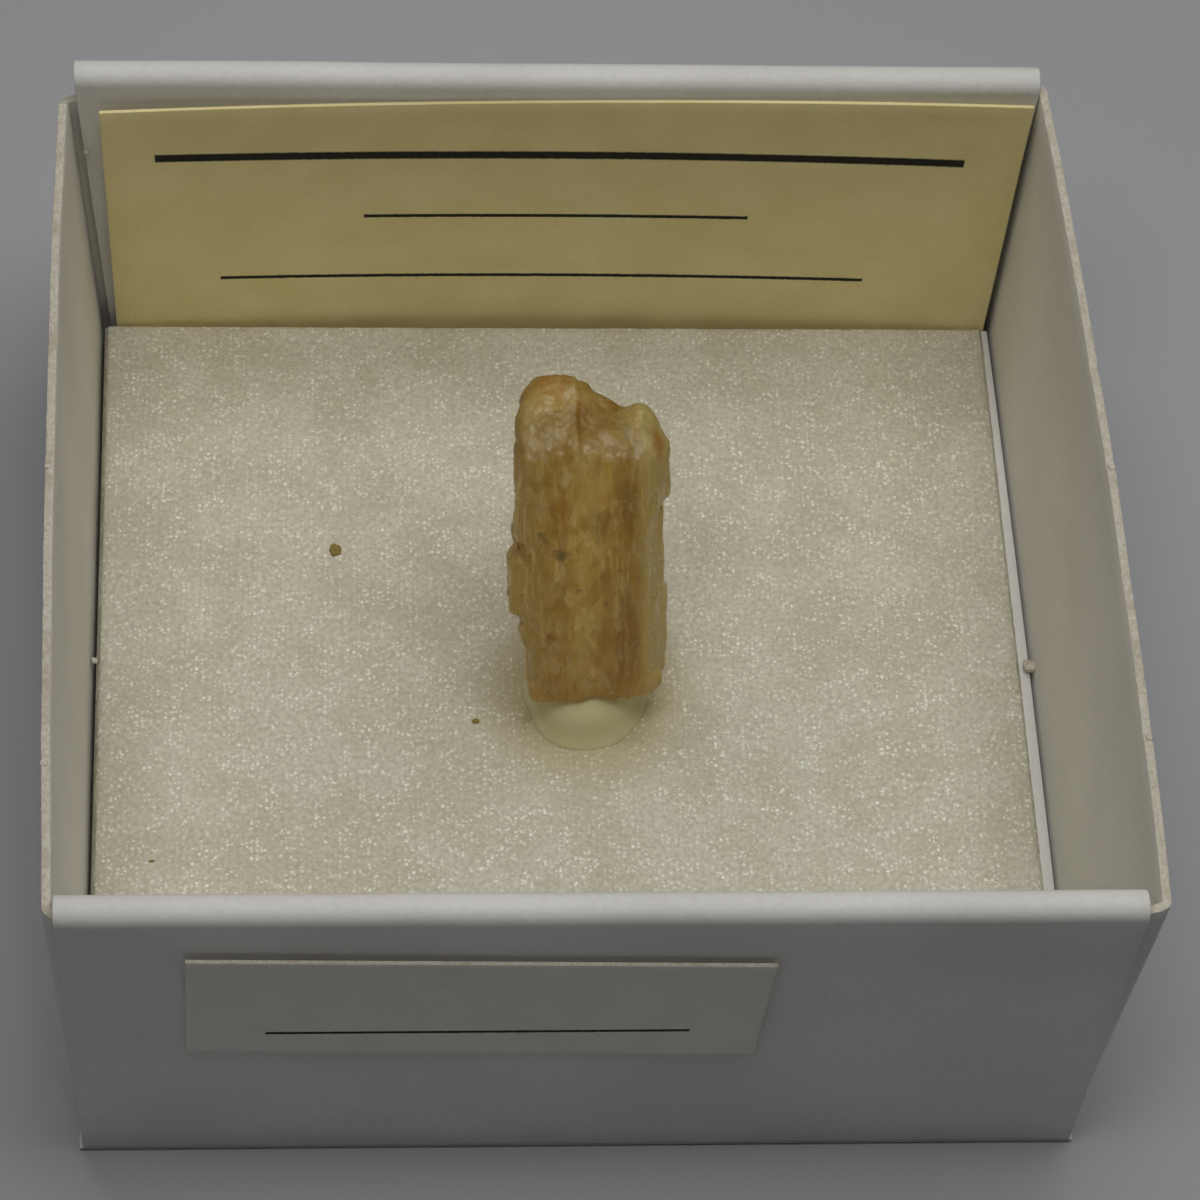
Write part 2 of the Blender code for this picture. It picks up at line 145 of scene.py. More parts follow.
# Cards. The small one is given by its left, its right, its foot and its top.
LARGE_CARD_FRONT = 18.3
LARGE_CARD_BOW = 0.42
LARGE_CARD_SHORT_END = 0.8
CARD_BEVEL = 0.03
SMALL_CARD = (-15.35, 6.4, 9.3, 17.15)
SMALL_CARD_TURN = math.radians(1.7)
SMALL_CARD_LIFT = 0.14

# For each card, the colour of its mottle, of its fibres and its writing lines. Each line is its
# height, its two ends and its thickness.
LARGE_CARD_PRINT = (
    "#F0E2A6", "#DFD096",
    ((15.6, -17.3, 16.6, 0.5), (11.4, -8.6, 7.8, 0.22), (7.1, -14.8, 13.2, 0.22)),
)
SMALL_CARD_PRINT = ("#F2EEE2", "#DCD6C8", ((11.2, -12.4, 3.6, 0.2),))

# Crystal, in its own axes: x to its right, y into its thickness, z along its length
CRYSTAL_FOOT = Vector((0.71, -2.76, 6.3))
CRYSTAL_AXIS = Vector((-0.047, 0.342, 0.939))
CRYSTAL_FRONT = -0.15
COARSE_VOXEL = 0.17
VOXEL = 0.068

# Its broken top: how it is rounded towards the front and falls to the right, where it and its front
# edge are worn, and how often that edge and the finished skin are rubbed
RIM_OF_TOP = 13.5
TOP_ROUND = 2.2
TOP_FALL = 0.25
TOP_KEPT = 0.15
TOP_WORN_FROM = 10.5
WORN_EDGE_DEPTH = 1.9
WORN_EDGE_FROM = 9.6
WORN_EDGE_TIMES = 36
SKIN_TIMES = 3

# The step down to the right in its top, and the growth ridges to the left of the step
STEP_AT = -0.38
STEP_WIDTH = 0.12
STEP_DROP = 0.2
STEP_FROM = 10.3
RIDGE = 0.022
RIDGE_STEP = 0.36
RIDGE_SLOPE = 0.9
RIDGED_WIDTH = 0.8
RIDGED_DEPTHS = (1.0, 2.3)

# Notches across its left edge: height, depth and half width
NOTCHES = (
    (12.35, 0.12, 0.3), (9.9, 0.08, 0.3), (7.3, 0.34, 0.6), (5.1, 0.08, 0.3), (3.6, 0.2, 0.3)
)
NOTCHED_FROM = -2.2
NOTCH_FADE = 0.6
NOTCH_SLANT = 0.3
NOTCH_MIDDLE = 1.2

# Round lobes that grew on the crystal: middle and half sizes
CRYSTAL_LOBES = (
    ((-1.35, 3.0, 13.05), (1.3, 1.25, 1.15)),
    ((-1.6, 2.1, 12.8), (1.2, 1.8, 1.1)),
    ((-1.9, 1.6, 11.9), (0.95, 1.5, 1.3)),
    ((-0.25, 3.0, 13.1), (0.65, 1.1, 1.15)),
    ((0.55, 3.0, 12.5), (0.85, 1.0, 0.9)),
    ((2.1, 2.5, 12.35), (0.85, 1.1, 0.95)),
    ((2.75, 1.9, 11.5), (0.6, 1.0, 1.1)),
    ((0.55, 0.95, 10.95), (1.45, 0.98, 1.0)),
    ((2.1, 1.0, 10.85), (1.05, 1.0, 1.0)),
    ((-2.68, 1.2, 8.9), (0.3, 0.9, 0.8)),
    ((-2.78, 1.3, 5.95), (0.42, 0.8, 0.95)),
    ((-2.88, 1.3, 4.5), (0.42, 0.8, 0.6)),
    ((-2.42, 1.2, 2.95), (0.5, 0.8, 0.8)),
    ((-1.05, 0.62, 0.6), (1.35, 0.72, 0.8)),
    ((1.5, 0.62, 0.62), (1.55, 0.72, 0.8)),
)

# Relief of the crystal's skin: waves per millimetre across it and along it, and their height in
# millimetres on its flanks and on its ends. Where that is below zero they are sharp ridges.
CRYSTAL_RELIEF = (
    (0.8, 0.05, -0.1, 0.0),
    (2.4, 0.15, -0.08, 0.0),
    (6.0, 0.4, -0.02, -0.01),
    (1.2, 0.8, 0.07, 0.14),
    (3.6, 3.0, 0.03, 0.04),
)

# Stains, healed cracks and inclusions near the crystal's skin, and pale patches on its broken top
# and
# front that are painted glints: how far their edges wander, and each one's middle and half sizes,
# strength and colour
MARKS_WANDER = 0.7
TOPAZ_MARKS = (
    ((-1.3, 3.0, 13.6), (1.4, 0.9, 0.7), 0.8, "#DA921E"),
    # painted glint: the pale patch where the broken top left of the step catches the light
    ((-0.9, 1.7, 13.4), (0.4, 0.9, 0.5), 0.4, "#FFEDA4"),
    ((-0.25, 2.4, 13.2), (0.4, 1.6, 0.8), 0.8, "#B27C1C"),
    ((0.5, 2.0, 12.9), (0.8, 1.6, 0.7), 0.5, "#C89434"),
    ((1.6, 1.9, 12.6), (0.5, 1.2, 0.6), 0.6, "#D2C68C"),
    ((2.7, 1.6, 11.9), (0.5, 1.0, 0.6), 0.8, "#DA8C18"),
    # painted glint: a pale patch on the front near the top, left of the step
    ((-0.92, 0.0, 11.6), (0.2, 0.5, 0.65), 0.8, "#FFF3BE"),
    # painted glints: the next three marks are short strokes on the top left of the step
    ((-0.62, 1.7, 12.9), (0.12, 0.5, 0.4), 0.8, "#FFF8DC"),
    ((-0.85, 1.3, 12.5), (0.1, 0.4, 0.3), 0.7, "#FFF8DC"),
    ((-1.15, 1.0, 12.0), (0.2, 0.5, 0.2), 0.5, "#FFF2C0"),
    ((-0.4, 0.0, 12.2), (0.3, 0.5, 0.35), 0.5, "#FFE9A6"),
    # painted glint: a pale patch on the left of the front
    ((-1.91, 0.0, 10.0), (0.3, 0.5, 0.5), 0.5, "#F8E7AE"),
    ((-1.15, 0.0, 9.9), (0.65, 0.6, 0.9), 0.6, "#C28C22"),
    ((1.6, 0.1, 10.0), (0.6, 0.7, 1.6), 0.6, "#967428"),
    ((0.42, 0.0, 9.1), (1.1, 0.5, 0.9), 0.4, "#8E7040"),
    ((-1.8, 0.0, 8.5), (0.22, 0.4, 0.4), 0.6, "#59542F"),
    ((-1.2, 0.0, 7.75), (0.42, 0.4, 0.32), 0.7, "#4C4828"),
    ((-1.5, 0.0, 8.2), (0.07, 0.4, 0.6), 0.6, "#FFF0B8"),
    ((0.47, 0.0, 6.6), (0.2, 0.4, 0.22), 0.5, "#8A5812"),
    ((-0.43, 0.0, 5.9), (0.17, 0.4, 0.2), 0.5, "#8A5812"),
    ((0.66, 0.0, 5.15), (0.2, 0.4, 0.25), 0.6, "#8A5812"),
    ((1.5, 0.0, 3.4), (0.5, 0.6, 3.2), 0.5, "#A07828"),
    ((-1.88, 0.0, 2.95), (0.1, 0.3, 0.13), 0.95, "#1C170D"),
    ((-1.65, 0.0, 3.4), (0.25, 0.4, 0.35), 0.6, "#9A6818"),
    ((-2.3, 0.2, 1.9), (0.5, 0.6, 1.0), 0.4, "#E3D08A"),
    ((-0.2, 0.0, 0.85), (0.14, 0.4, 0.45), 0.6, "#FFE9A8"),
)

# Putty, with the limits in the crystal's own axes of the dent that the crystal makes in it
PUTTY_CENTRE = Vector((0.6, -1.15, 4.0))
PUTTY_RADIUS = 2.28
PUTTY_SKIRT = 0.34
PUTTY_HEIGHT = 2.35
DENT_WIDTHS = (-2.5, 3.3)
DENT_DEPTHS = (-0.15, 3.8)
DENT_HEIGHT = 0.02

# Lights: name, place, length and width, share of the key's power and colour
LIGHTS = (
    ("front_softbox", (8.0, -20.0, 190.0), (165.0, 58.0), 1.0, "#FFFDF9"),
    ("back_softbox", (0.0, 70.0, 200.0), (160.0, 60.0), 0.7, "#FFFDF9"),
)
LIGHTS_AIM = Vector((0, 0, 8.0))
SKY_COLOUR = "#F2F2F2"
SKY_STRENGTH = 0.02
FLOOR_HALF = 900.0

# The photograph's camera, fitted to the tray's edges: its place in millimetres, its lens, and the
# directions of its right, its down and its view
CAMERA_PLACE = Vector((-9.348, -85.637, 149.945))
CAMERA_LENS = 120.98
CAMERA_SENSOR = 36.0
CAMERA_CLIPS = (0.01, 10.0)
CAMERA_RIGHT = Vector((0.9980, -0.0329, 0.0533))
CAMERA_DOWN = Vector((-0.0003, -0.8533, -0.5214))
CAMERA_AHEAD = Vector((0.0626, 0.5203, -0.8517))


def crystal_stand():
    """The matrix from the crystal's own axes to the frame's, in millimetres."""
    along = CRYSTAL_AXIS.normalized()
    right = Vector((1, 0, 0))
    right = (right - along * right.dot(along)).normalized()
    deep = along.cross(right)
    turn = Matrix((right, deep, along)).transposed().to_4x4()
    return Matrix.Translation(CRYSTAL_FOOT) @ turn


STAND = crystal_stand()


# Colours and nodes


def linear(hex_colour):
    """A linear colour with alpha from an sRGB hex value."""
    parts = [int(hex_colour[i:i + 2], 16) / 255 for i in (1, 3, 5)]
    return (*[c / 12.92 if c <= 0.04045 else ((c + 0.055) / 1.055) ** 2.4 for c in parts], 1.0)


def add(tree, kind, inputs=None, out=0, **settings):
    """Adds a shader node with its settings. Each input named by its number or name is given a
    plain value or a link, and the output asked for comes back."""
    made = tree.nodes.new("ShaderNode" + kind)
    for name, value in settings.items():
        setattr(made, name, value)
    for socket, value in (inputs or {}).items():
        if isinstance(value, bpy.types.NodeSocket):
            tree.links.new(value, made.inputs[socket])
        else:
            made.inputs[socket].default_value = value
    return made.outputs[out]


# A Mix node's inputs are 0, its factor, and 6 and 7, its colours. A Map Range node's are 0, its
# value, 1 and 2, the limits it is read between, and 3 and 4, what they become.
COLOURS = {"out": 2, "data_type": "RGBA"}
BEND = {"interpolation_type": "SMOOTHSTEP"}


def started(name, **values):
    """A new material with its shader's plain values, and object coordinates in millimetres."""
    made = bpy.data.materials.new(name)
    made.use_nodes = True
    tree = made.node_tree
    shader = tree.nodes["Principled BSDF"]
    for socket, value in values.items():
        shader.inputs[socket.replace("_", " ")].default_value = value
    place = add(tree, "TexCoord", out="Object")
    place = add(tree, "Mapping", {"Vector": place, "Scale": (1 / MM,) * 3})
    return made, tree, shader, place


def finish_surface(tree, shader, colour, height, strength, depth_mm, roughness=None):
    """Links a material's colour, its relief and, where it varies, its roughness."""
    tree.links.new(colour, shader.inputs["Base Color"])
    if roughness:
        tree.links.new(roughness, shader.inputs["Roughness"])
    values = {"Height": height, "Strength": strength, "Distance": depth_mm * MM}
    tree.links.new(add(tree, "Bump", values), shader.inputs["Normal"])


def grain(place, size_mm, detail=2.0, roughness=0.5):
    """The inputs of a noise pattern whose lumps are about this size in millimetres."""
    return {"Vector": place, "Scale": 1 / size_mm, "Detail": detail, "Roughness": roughness}


# Materials


def coated_card():
    """Clay-coated white box board, calendered smooth: an even satin white with faint clouds where
    it has been handled, and a fibre just felt through the coating."""
    made, tree, shader, place = started(
        "clay_coated_white_board", Roughness=0.6, Specular_IOR_Level=0.3
    )
    cloud = add(tree, "TexNoise", grain(place, 7.0, 1.0))
    fibre = add(tree, "TexNoise", grain(place, 0.3, 1.0, 0.6))
    worn = add(tree, "MapRange", {0: cloud, 1: 0.35, 2: 0.7})
    white = tuple(bpy.context.scene.tray_look.card_colour)
    colour = add(tree, "Mix", {0: worn, 6: white, 7: linear("#E8E7E3")}, **COLOURS)
    speck = add(tree, "MapRange", {0: fibre, 1: 0.35, 2: 0.8, 3: 0.0, 4: 0.12})
    colour = add(tree, "Mix", {0: speck, 6: colour, 7: linear("#A9A59B")}, **COLOURS)
    satin = add(tree, "MapRange", {0: cloud, 1: 0.3, 2: 0.75, 3: 0.55, 4: 0.7})
    finish_surface(tree, shader, colour, fibre, 0.1, 0.04, satin)
    return made


def cut_board():
    """The cut edge of pulp board: matt and fibrous, cream with faint brown smudges."""
    made, tree, shader, place = started("raw_pulp_board_edge", Roughness=0.9)
    fibre = add(tree, "TexNoise", grain(place, 0.15, 3.0, 0.7))
    stain = add(tree, "TexNoise", grain(place, 1.1, 3.0))
    pale = add(tree, "MapRange", {0: fibre, 1: 0.35, 2: 0.65})
    colour = add(tree, "Mix", {0: pale, 6: linear("#C9C1AE"), 7: linear("#E4DFD2")}, **COLOURS)
    dark = add(tree, "MapRange", {0: stain, 1: 0.52, 2: 0.75, 3: 0.0, 4: 0.4})
    colour = add(tree, "Mix", {0: dark, 6: colour, 7: linear("#9C8A68")}, **COLOURS)
    finish_surface(tree, shader, colour, fibre, 0.6, 0.08)
    return made


def polyethylene_foam():
    """Foamed white polyethylene sheet with a skived top: a frosted surface of cut cells, whose film
    glints, 0.15 to 0.2 mm wide, are painted highlights: paler, glossier spots in the colour. Round
    the tack an olive darkening is partly oil crept a little way in and partly painted shade."""
    made, tree, shader, place = started(
        "white_polyethylene_foam", Roughness=0.55, Specular_IOR_Level=0.5
    )
    frost = add(tree, "TexNoise", grain(place, 0.22, 1.0, 0.6))
    cloud = add(tree, "TexNoise", grain(place, 3.0, 1.0))
    drift = add(tree, "TexNoise", grain(place, 0.8, 0.0))
    part = add(tree, "MapRange", {0: cloud, 1: 0.4, 2: 0.6})
    white = tuple(bpy.context.scene.foam_look.colour)
    colour = add(tree, "Mix", {0: part, 6: white, 7: linear("#D0CBB6")}, **COLOURS)
    dim = add(tree, "MapRange", {0: frost, 1: 0.35, 2: 0.6, 3: 0.4, 4: 0.0})
    colour = add(tree, "Mix", {0: dim, 6: colour, 7: linear("#ABA793")}, **COLOURS)
    # An olive darkening round the tack: partly oil crept into the foam, partly painted shade of the
    # crystal and putty
    away = {0: place, 1: PUTTY_CENTRE}
    away = add(tree, "VectorMath", away, "Value", operation="DISTANCE")
    away = add(tree, "Math", {0: cloud, 1: 1.4, 2: away}, operation="MULTIPLY_ADD")
    oil_and_shade = add(tree, "MapRange", {0: away, 1: 2.6, 2: 6.6, 3: 0.85, 4: 0.0}, **BEND)
    colour = add(tree, "Mix", {0: oil_and_shade, 6: colour, 7: linear("#BBB082")}, **COLOURS)
    # painted highlights: the glints of the cell films are painted as paler spots in the colour, and
    # made glossier
    glints = 0.0
    for spacing, radius, rarest in ((0.3, 0.1, 0.25), (0.2, 0.075, 0.35)):
        cells = {"Vector": place, "Scale": 1 / spacing}
        cells = add(tree, "TexVoronoi", cells, voronoi_dimensions="2D").node.outputs
        reach = radius / spacing
        spot = {0: cells["Distance"], 1: reach * 0.3, 2: reach, 3: 1.0, 4: 0.0}
        chance = add(tree, "SeparateColor", {0: cells["Color"]})
        chance = add(tree, "MapRange", {0: chance, 1: rarest, 2: 1.1})
        spot = {0: add(tree, "MapRange", spot), 1: chance, 2: glints}
        glints = add(tree, "Math", spot, operation="MULTIPLY_ADD")
    dense = add(tree, "MapRange", {0: drift, 1: 0.38, 2: 0.62, 3: 0.3, 4: 1.1})
    # fewer painted glints inside that halo of oil and painted shade
    dry = add(tree, "MapRange", {0: oil_and_shade, 3: 1.0, 4: 0.35})
    dense = add(tree, "Math", {0: dense, 1: dry}, operation="MULTIPLY")
    glints = add(tree, "Math", {0: glints, 1: dense}, operation="MULTIPLY", use_clamp=True)
    colour = add(tree, "Mix", {0: glints, 6: colour, 7: linear("#FFFFF2")}, **COLOURS)
    gloss = add(tree, "MapRange", {0: glints, 3: 0.6, 4: 0.18})
    finish_surface(tree, shader, colour, frost, 0.6, 0.08, gloss)
    return made


def mineral_putty():
    """Mineral tack, pale green-yellow, rolled between the fingers: smooth, waxy and dull, with
    light passing a little way in."""
    made, tree, shader, place = started(
        "mineral_tack", Roughness=0.6, Specular_IOR_Level=0.25, Subsurface_Weight=0.3,
        Subsurface_Radius=(0.6 * MM, 0.5 * MM, 0.3 * MM), Subsurface_Scale=1.0,
    )
    cloud = add(tree, "TexNoise", grain(place, 1.6, 1.0))
    tack = tuple(bpy.context.scene.putty_look.colour)
    colour = add(tree, "Mix", {0: cloud, 6: tack, 7: linear("#DFD8AE")}, **COLOURS)
    finish_surface(tree, shader, colour, cloud, 0.15, 0.2)
    return made


def ruled_card(name, pale, mottled, fibres, lines):
    """Uncoated card with short fibres and a faint mottle, and plain writing lines in black."""
    made, tree, shader, place = started(name, Roughness=0.75, Specular_IOR_Level=0.2)
    fibre = add(tree, "TexNoise", grain(place, 0.2, 1.0, 0.7))
    mottle = add(tree, "TexNoise", grain(place, 2.5, 1.0))
    part = add(tree, "MapRange", {0: mottle, 1: 0.3, 2: 0.7})
    colour = add(tree, "Mix", {0: part, 6: pale, 7: linear(mottled)}, **COLOURS)
    part = add(tree, "MapRange", {0: fibre, 1: 0.3, 2: 0.8, 3: 0.0, 4: 0.25})
    colour = add(tree, "Mix", {0: part, 6: colour, 7: linear(fibres)}, **COLOURS)
    axes = add(tree, "SeparateXYZ", {0: place}).node.outputs
    rag = add(tree, "MapRange", {0: fibre, 3: -0.03, 4: 0.03})
    level = add(tree, "Math", {0: axes["Z"], 1: rag}, operation="ADD")
    for height, left, right, thick in lines:
        off = add(tree, "Math", {0: level, 1: height}, operation="SUBTRACT")
        off = add(tree, "Math", {0: off}, operation="ABSOLUTE")
        printed = add(tree, "MapRange", {0: off, 1: thick * 0.42, 2: thick * 0.58, 3: 1.0, 4: 0.0})
        along = add(tree, "Math", {0: axes["X"], 1: (left + right) / 2}, operation="SUBTRACT")
        along = add(tree, "Math", {0: along}, operation="ABSOLUTE")
        half = (right - left) / 2
        within = add(tree, "MapRange", {0: along, 1: half, 2: half + 0.05, 3: 1.0, 4: 0.0})
        ink = add(tree, "Math", {0: printed, 1: within}, operation="MULTIPLY")
        colour = add(tree, "Mix", {0: ink, 6: colour, 7: linear("#2A2926")}, **COLOURS)
    finish_surface(tree, shader, colour, fibre, 0.25, 0.04)
    return made


def marked(tree, home, colour):
    """The topaz's colour with its stains, healed cracks, inclusions and painted glints, all ragged
    at the edge.
    """
    ragged = add(tree, "TexNoise", grain(home, 0.5, 1.0), "Color")
    ragged = {0: ragged, 1: (MARKS_WANDER,) * 3, 2: home}
    ragged = add(tree, "VectorMath", ragged, operation="MULTIPLY_ADD")
    for middle, radii, most, tint in TOPAZ_MARKS:
        scale = Vector([1 / radius for radius in radii])
        shift = -Vector([(at + MARKS_WANDER / 2) / radius for at, radius in zip(middle, radii)])
        away = add(tree, "Mapping", {"Vector": ragged, "Location": shift, "Scale": scale})
        away = add(tree, "VectorMath", {0: away}, "Value", operation="LENGTH")
        part = add(tree, "MapRange", {0: away, 1: 0.4, 2: 1.1, 3: most, 4: 0.0}, **BEND)
        colour = add(tree, "Mix", {0: part, 6: colour, 7: linear(tint)}, **COLOURS)
    return colour


def topaz():
    """Honey topaz, an aluminium fluorosilicate with an IOR of 1.62: clear in itself, but so full
    of fine veils and flaws that light wanders inside it and it glows honey brown, with paler
    streaks along its length, orange ends and a few dark inclusions. Etching dulls its gloss."""
    look = bpy.context.scene.crystal_look
    made, tree, shader, place = started(
        "honey_topaz", Roughness=0.35, IOR=1.62, Specular_IOR_Level=0.38, Transmission_Weight=0.7,
    )
    turn = STAND.to_3x3().transposed()
    home = {"Vector": place, "Location": -(turn @ CRYSTAL_FOOT), "Rotation": turn.to_euler()}
    home = add(tree, "Mapping", home)
    axes = add(tree, "SeparateXYZ", {0: home}).node.outputs
    wander = add(tree, "TexNoise", grain(home, 1.0, 1.0), "Color")
    wander = {0: wander, 1: (0.5, 0.5, 0.5), 2: home}
    wander = add(tree, "VectorMath", wander, operation="MULTIPLY_ADD")
    long = add(tree, "Mapping", {"Vector": home, "Scale": (1.0, 1.0, 0.12)})
    streak = add(tree, "TexNoise", grain(long, 0.16, 1.0, 0.5))
    patch = add(tree, "TexNoise", grain(home, 0.9, 2.0, 0.55))
    grown = []
    for width, drawn in ((1.1, 0.06), (0.4, 0.1), (0.3, 0.45)):
        part = add(tree, "Mapping", {"Vector": wander, "Scale": (1.0, 0.6, drawn)})
        part = add(tree, "TexVoronoi", {"Vector": part, "Scale": 1 / width}, "Color")
        grown.append(add(tree, "SeparateColor", {0: part}))
    column, thread, fleck = grown

    part = add(tree, "MapRange", {0: patch, 1: 0.38, 2: 0.62}, **BEND)
    honey, deep = tuple(look.honey_colour), tuple(look.deep_colour)
    colour = add(tree, "Mix", {0: part, 6: deep, 7: honey}, **COLOURS)
    for pattern, low, high, most, tint in (
        (column, 0.45, 0.9, 0.5, "#F7DA7C"),
        (column, 0.5, 0.1, 0.5, "#BF9030"),
        (thread, 0.6, 1.0, 0.4, "#FBE596"),
        (thread, 0.35, 0.0, 0.3, "#BC8828"),
        (streak, 0.58, 0.7, 0.5, "#FFEEAA"),
        (fleck, 0.4, 0.0, 0.4, "#A87C26"),
        # painted glints: the palest flecks stand in for light reflected off flaws inside the stone
        (fleck, 0.7, 1.0, 0.6, "#FFEEAE"),
        # painted light: the thin right facet and the left edge are made paler, as where light shines
        # through them
        (axes["X"], 1.9, 2.3, 0.85, "#FFF0A0"),
        (axes["X"], -1.6, -2.4, 0.5, "#EFDB86"),
        (axes["Z"], 1.3, 0.2, 0.35, "#F0B240"),
    ):
        part = add(tree, "MapRange", {0: pattern, 1: low, 2: high, 3: 0.0, 4: most})
        colour = add(tree, "Mix", {0: part, 6: colour, 7: linear(tint)}, **COLOURS)
    colour = marked(tree, home, colour)
    up = add(tree, "MapRange", {0: axes["Z"], 1: 10.5, 2: 12.5, 3: 0.0, 4: 0.2})
    gloss = add(tree, "MapRange", {0: fleck, 3: 0.42, 4: 0.2})
    gloss = add(tree, "Math", {0: gloss, 1: up}, operation="ADD")
    relief = add(tree, "Math", {0: fleck, 1: 0.3, 2: streak}, operation="MULTIPLY_ADD")
    finish_surface(tree, shader, colour, relief, 0.35, 0.08, gloss)
    absorb = add(
        tree, "VolumeAbsorption", {"Color": linear("#E8CE6C"), "Density": look.absorption}
    )
    output = next(node for node in tree.nodes if node.type == "OUTPUT_MATERIAL")
    tree.links.new(absorb, output.inputs["Volume"])
    return made


def dry_crumb():
    """Crumbs of dry glue and dust, dull yellow-brown."""
    made, tree, shader, place = started("dry_crumbs", Roughness=0.85)
    rough = add(tree, "TexNoise", grain(place, 0.1))
    colour = add(tree, "Mix", {0: rough, 6: linear("#6E5A28"), 7: linear("#B09A55")}, **COLOURS)
    finish_surface(tree, shader, colour, rough, 0.6, 0.05)
    return made


def painted_floor():
    """Pale matt paint, rolled on: almost even, with a faint orange-peel."""
    made, tree, shader, place = started("pale_matt_paint", Roughness=0.85, Specular_IOR_Level=0.2)
    cloud = add(tree, "TexNoise", grain(place, 40.0, 0.0))
    peel = add(tree, "TexNoise", grain(place, 1.0, 0.0))
    pale = tuple(bpy.context.scene.stage_look.floor_colour)
    colour = add(tree, "Mix", {0: cloud, 6: pale, 7: linear("#B7B9BE")}, **COLOURS)
    finish_surface(tree, shader, colour, peel, 0.05, 0.05)
    return made


# Meshes


def finished(bm, name, materials, node=None, sharp=40.0):
    """Turns a bmesh in millimetres into a piece at the origin, which rides with the tray."""
    bmesh.ops.scale(bm, vec=(MM,) * 3, verts=bm.verts)
    mesh = bpy.data.meshes.new(name)
    bm.to_mesh(mesh)
    bm.free()
    for material in materials:
        mesh.materials.append(material)
    mesh.shade_smooth()
    mesh.set_sharp_from_angle(angle=math.radians(sharp))
    piece = bpy.data.objects.new(name, mesh)
    bpy.context.scene.collection.objects.link(piece)
    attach(piece, BODY)
    if node:
        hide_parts(node)
    return piece


def box(low, high):
    """A box between two corners."""
    bm = bmesh.new()
    bmesh.ops.create_cube(bm, size=1.0)
    bmesh.ops.scale(bm, vec=high - low, verts=bm.verts)
    bmesh.ops.translate(bm, vec=(low + high) / 2, verts=bm.verts)
    return bm


def bevelled(bm, chosen, radius, segments):
    """Rounds off the edges that are chosen."""
    bmesh.ops.bevel(
        bm, geom=[edge for edge in bm.edges if chosen(edge)], offset=radius, segments=segments,
        profile=0.5, affect="EDGES", clamp_overlap=True, material=-1,
    )


def merged(target, bm):
    """Moves one bmesh's faces into another."""
    held = bpy.data.meshes.new("held")
    bm.to_mesh(held)
    bm.free()
    target.from_mesh(held)
    bpy.data.meshes.remove(held)


def helper_with(bm):
    """A short-lived object that takes over a bmesh, with places for two materials."""
    mesh = bpy.data.meshes.new("helper")
    bm.to_mesh(mesh)
    bm.free()
    mesh.materials.append(None)
    mesh.materials.append(None)
    helper = bpy.data.objects.new("helper", mesh)
    bpy.context.scene.collection.objects.link(helper)
    return helper


def taken_back(helper):
    """A bmesh of such an object once its modifiers have done their work."""
    graph = bpy.context.evaluated_depsgraph_get()
    out = bmesh.new()
    out.from_object(helper, graph)
    mesh = helper.data
    bpy.data.objects.remove(helper)
    bpy.data.meshes.remove(mesh)
    return out


def solidified(bm, thickness, bevel, rim_offset=0):
    """The sheet in a bmesh given its thickness and soft edges. Its cut rim is in the material that
    comes so many places after its own."""
    helper = helper_with(bm)
    thick = helper.modifiers.new("thickness", "SOLIDIFY")
    thick.thickness = thickness
    thick.offset = 0.0
    thick.use_even_offset = True
    thick.material_offset_rim = rim_offset
    soft = helper.modifiers.new("edges", "BEVEL")
    soft.width = bevel
    soft.segments = 2
    soft.limit_method = "ANGLE"
    soft.angle_limit = math.radians(60)
    return taken_back(helper)


def remeshed(bm, voxel):
    """Everything in a bmesh fused into one skin of even faces."""
    helper = helper_with(bm)
    fuse = helper.modifiers.new("fuse", "REMESH")
    fuse.mode = "VOXEL"
    fuse.voxel_size = voxel
    return taken_back(helper)


def share_of(value, full):
    """The value as a share of the full one, held between 0 and 1."""
    return min(max(value / full, 0.0), 1.0)


def along_depth(y):
    """0 at the tray's front, 1 at its back."""
    return y / DEPTH + 0.5


def push_back_left(bm):
    """Shifts what is in a bmesh to the left, more towards the tray's back and rim."""
    for vert in bm.verts:
        shift = BACK_SHIFT_FOOT + (BACK_SHIFT_RIM - BACK_SHIFT_FOOT) * vert.co.z / RIM
        vert.co.x += shift * along_depth(vert.co.y)


def side_lean(side, y, z):
    """How far a side wall leans out at a place on it."""
    front, back, bow = LEAN[side]
    along = along_depth(y)
    most = front + (back - front) * along + bow * 4 * along * (1 - along)
    return side * most * max(z / RIM, 0.0) ** LEAN_POWER


def arc(centre, radius, start, end, steps):
    """Points on an arc, its angles in degrees, in the order that they are passed."""
    turns = [math.radians(start + (end - start) * step / steps) for step in range(steps + 1)]
    return [(centre[0] + radius * math.cos(t), centre[1] + radius * math.sin(t)) for t in turns]


def wall_plan(card):
    """A side wall from above, from the front tab's end to the back tab's end."""
    wall_x = WIDTH / 2 - card / 2
    tab_y = DEPTH / 2 - ROLL / 2
    turn = CORNER_RADIUS - card / 2
    corner = arc((wall_x - turn, turn - tab_y), turn, -90, 0, 6)
    plan = [(wall_x - TAB, -tab_y), (wall_x - TAB / 2, -tab_y)] + corner
    reach = tab_y - turn
    steps = range(1, WALL_STEPS)
    plan += [(wall_x, -reach + 2 * reach * step / WALL_STEPS) for step in steps]
    return plan + [(x, -y) for x, y in reversed(corner)] + [
        (wall_x - TAB / 2, tab_y), (wall_x - TAB, tab_y)
    ]


def drawn_out(bm, line, times, step):
    """Draws a line of points out into a sheet, in equal steps."""
    rim = [bm.edges.new(pair) for pair in zip(line, line[1:])]
    for _ in range(times):
        grown = bmesh.ops.extrude_edge_only(bm, edges=rim)["geom"]
        moved = [part for part in grown if isinstance(part, bmesh.types.BMVert)]
        rim = [part for part in grown if isinstance(part, bmesh.types.BMEdge)]
        bmesh.ops.translate(bm, vec=step, verts=moved)


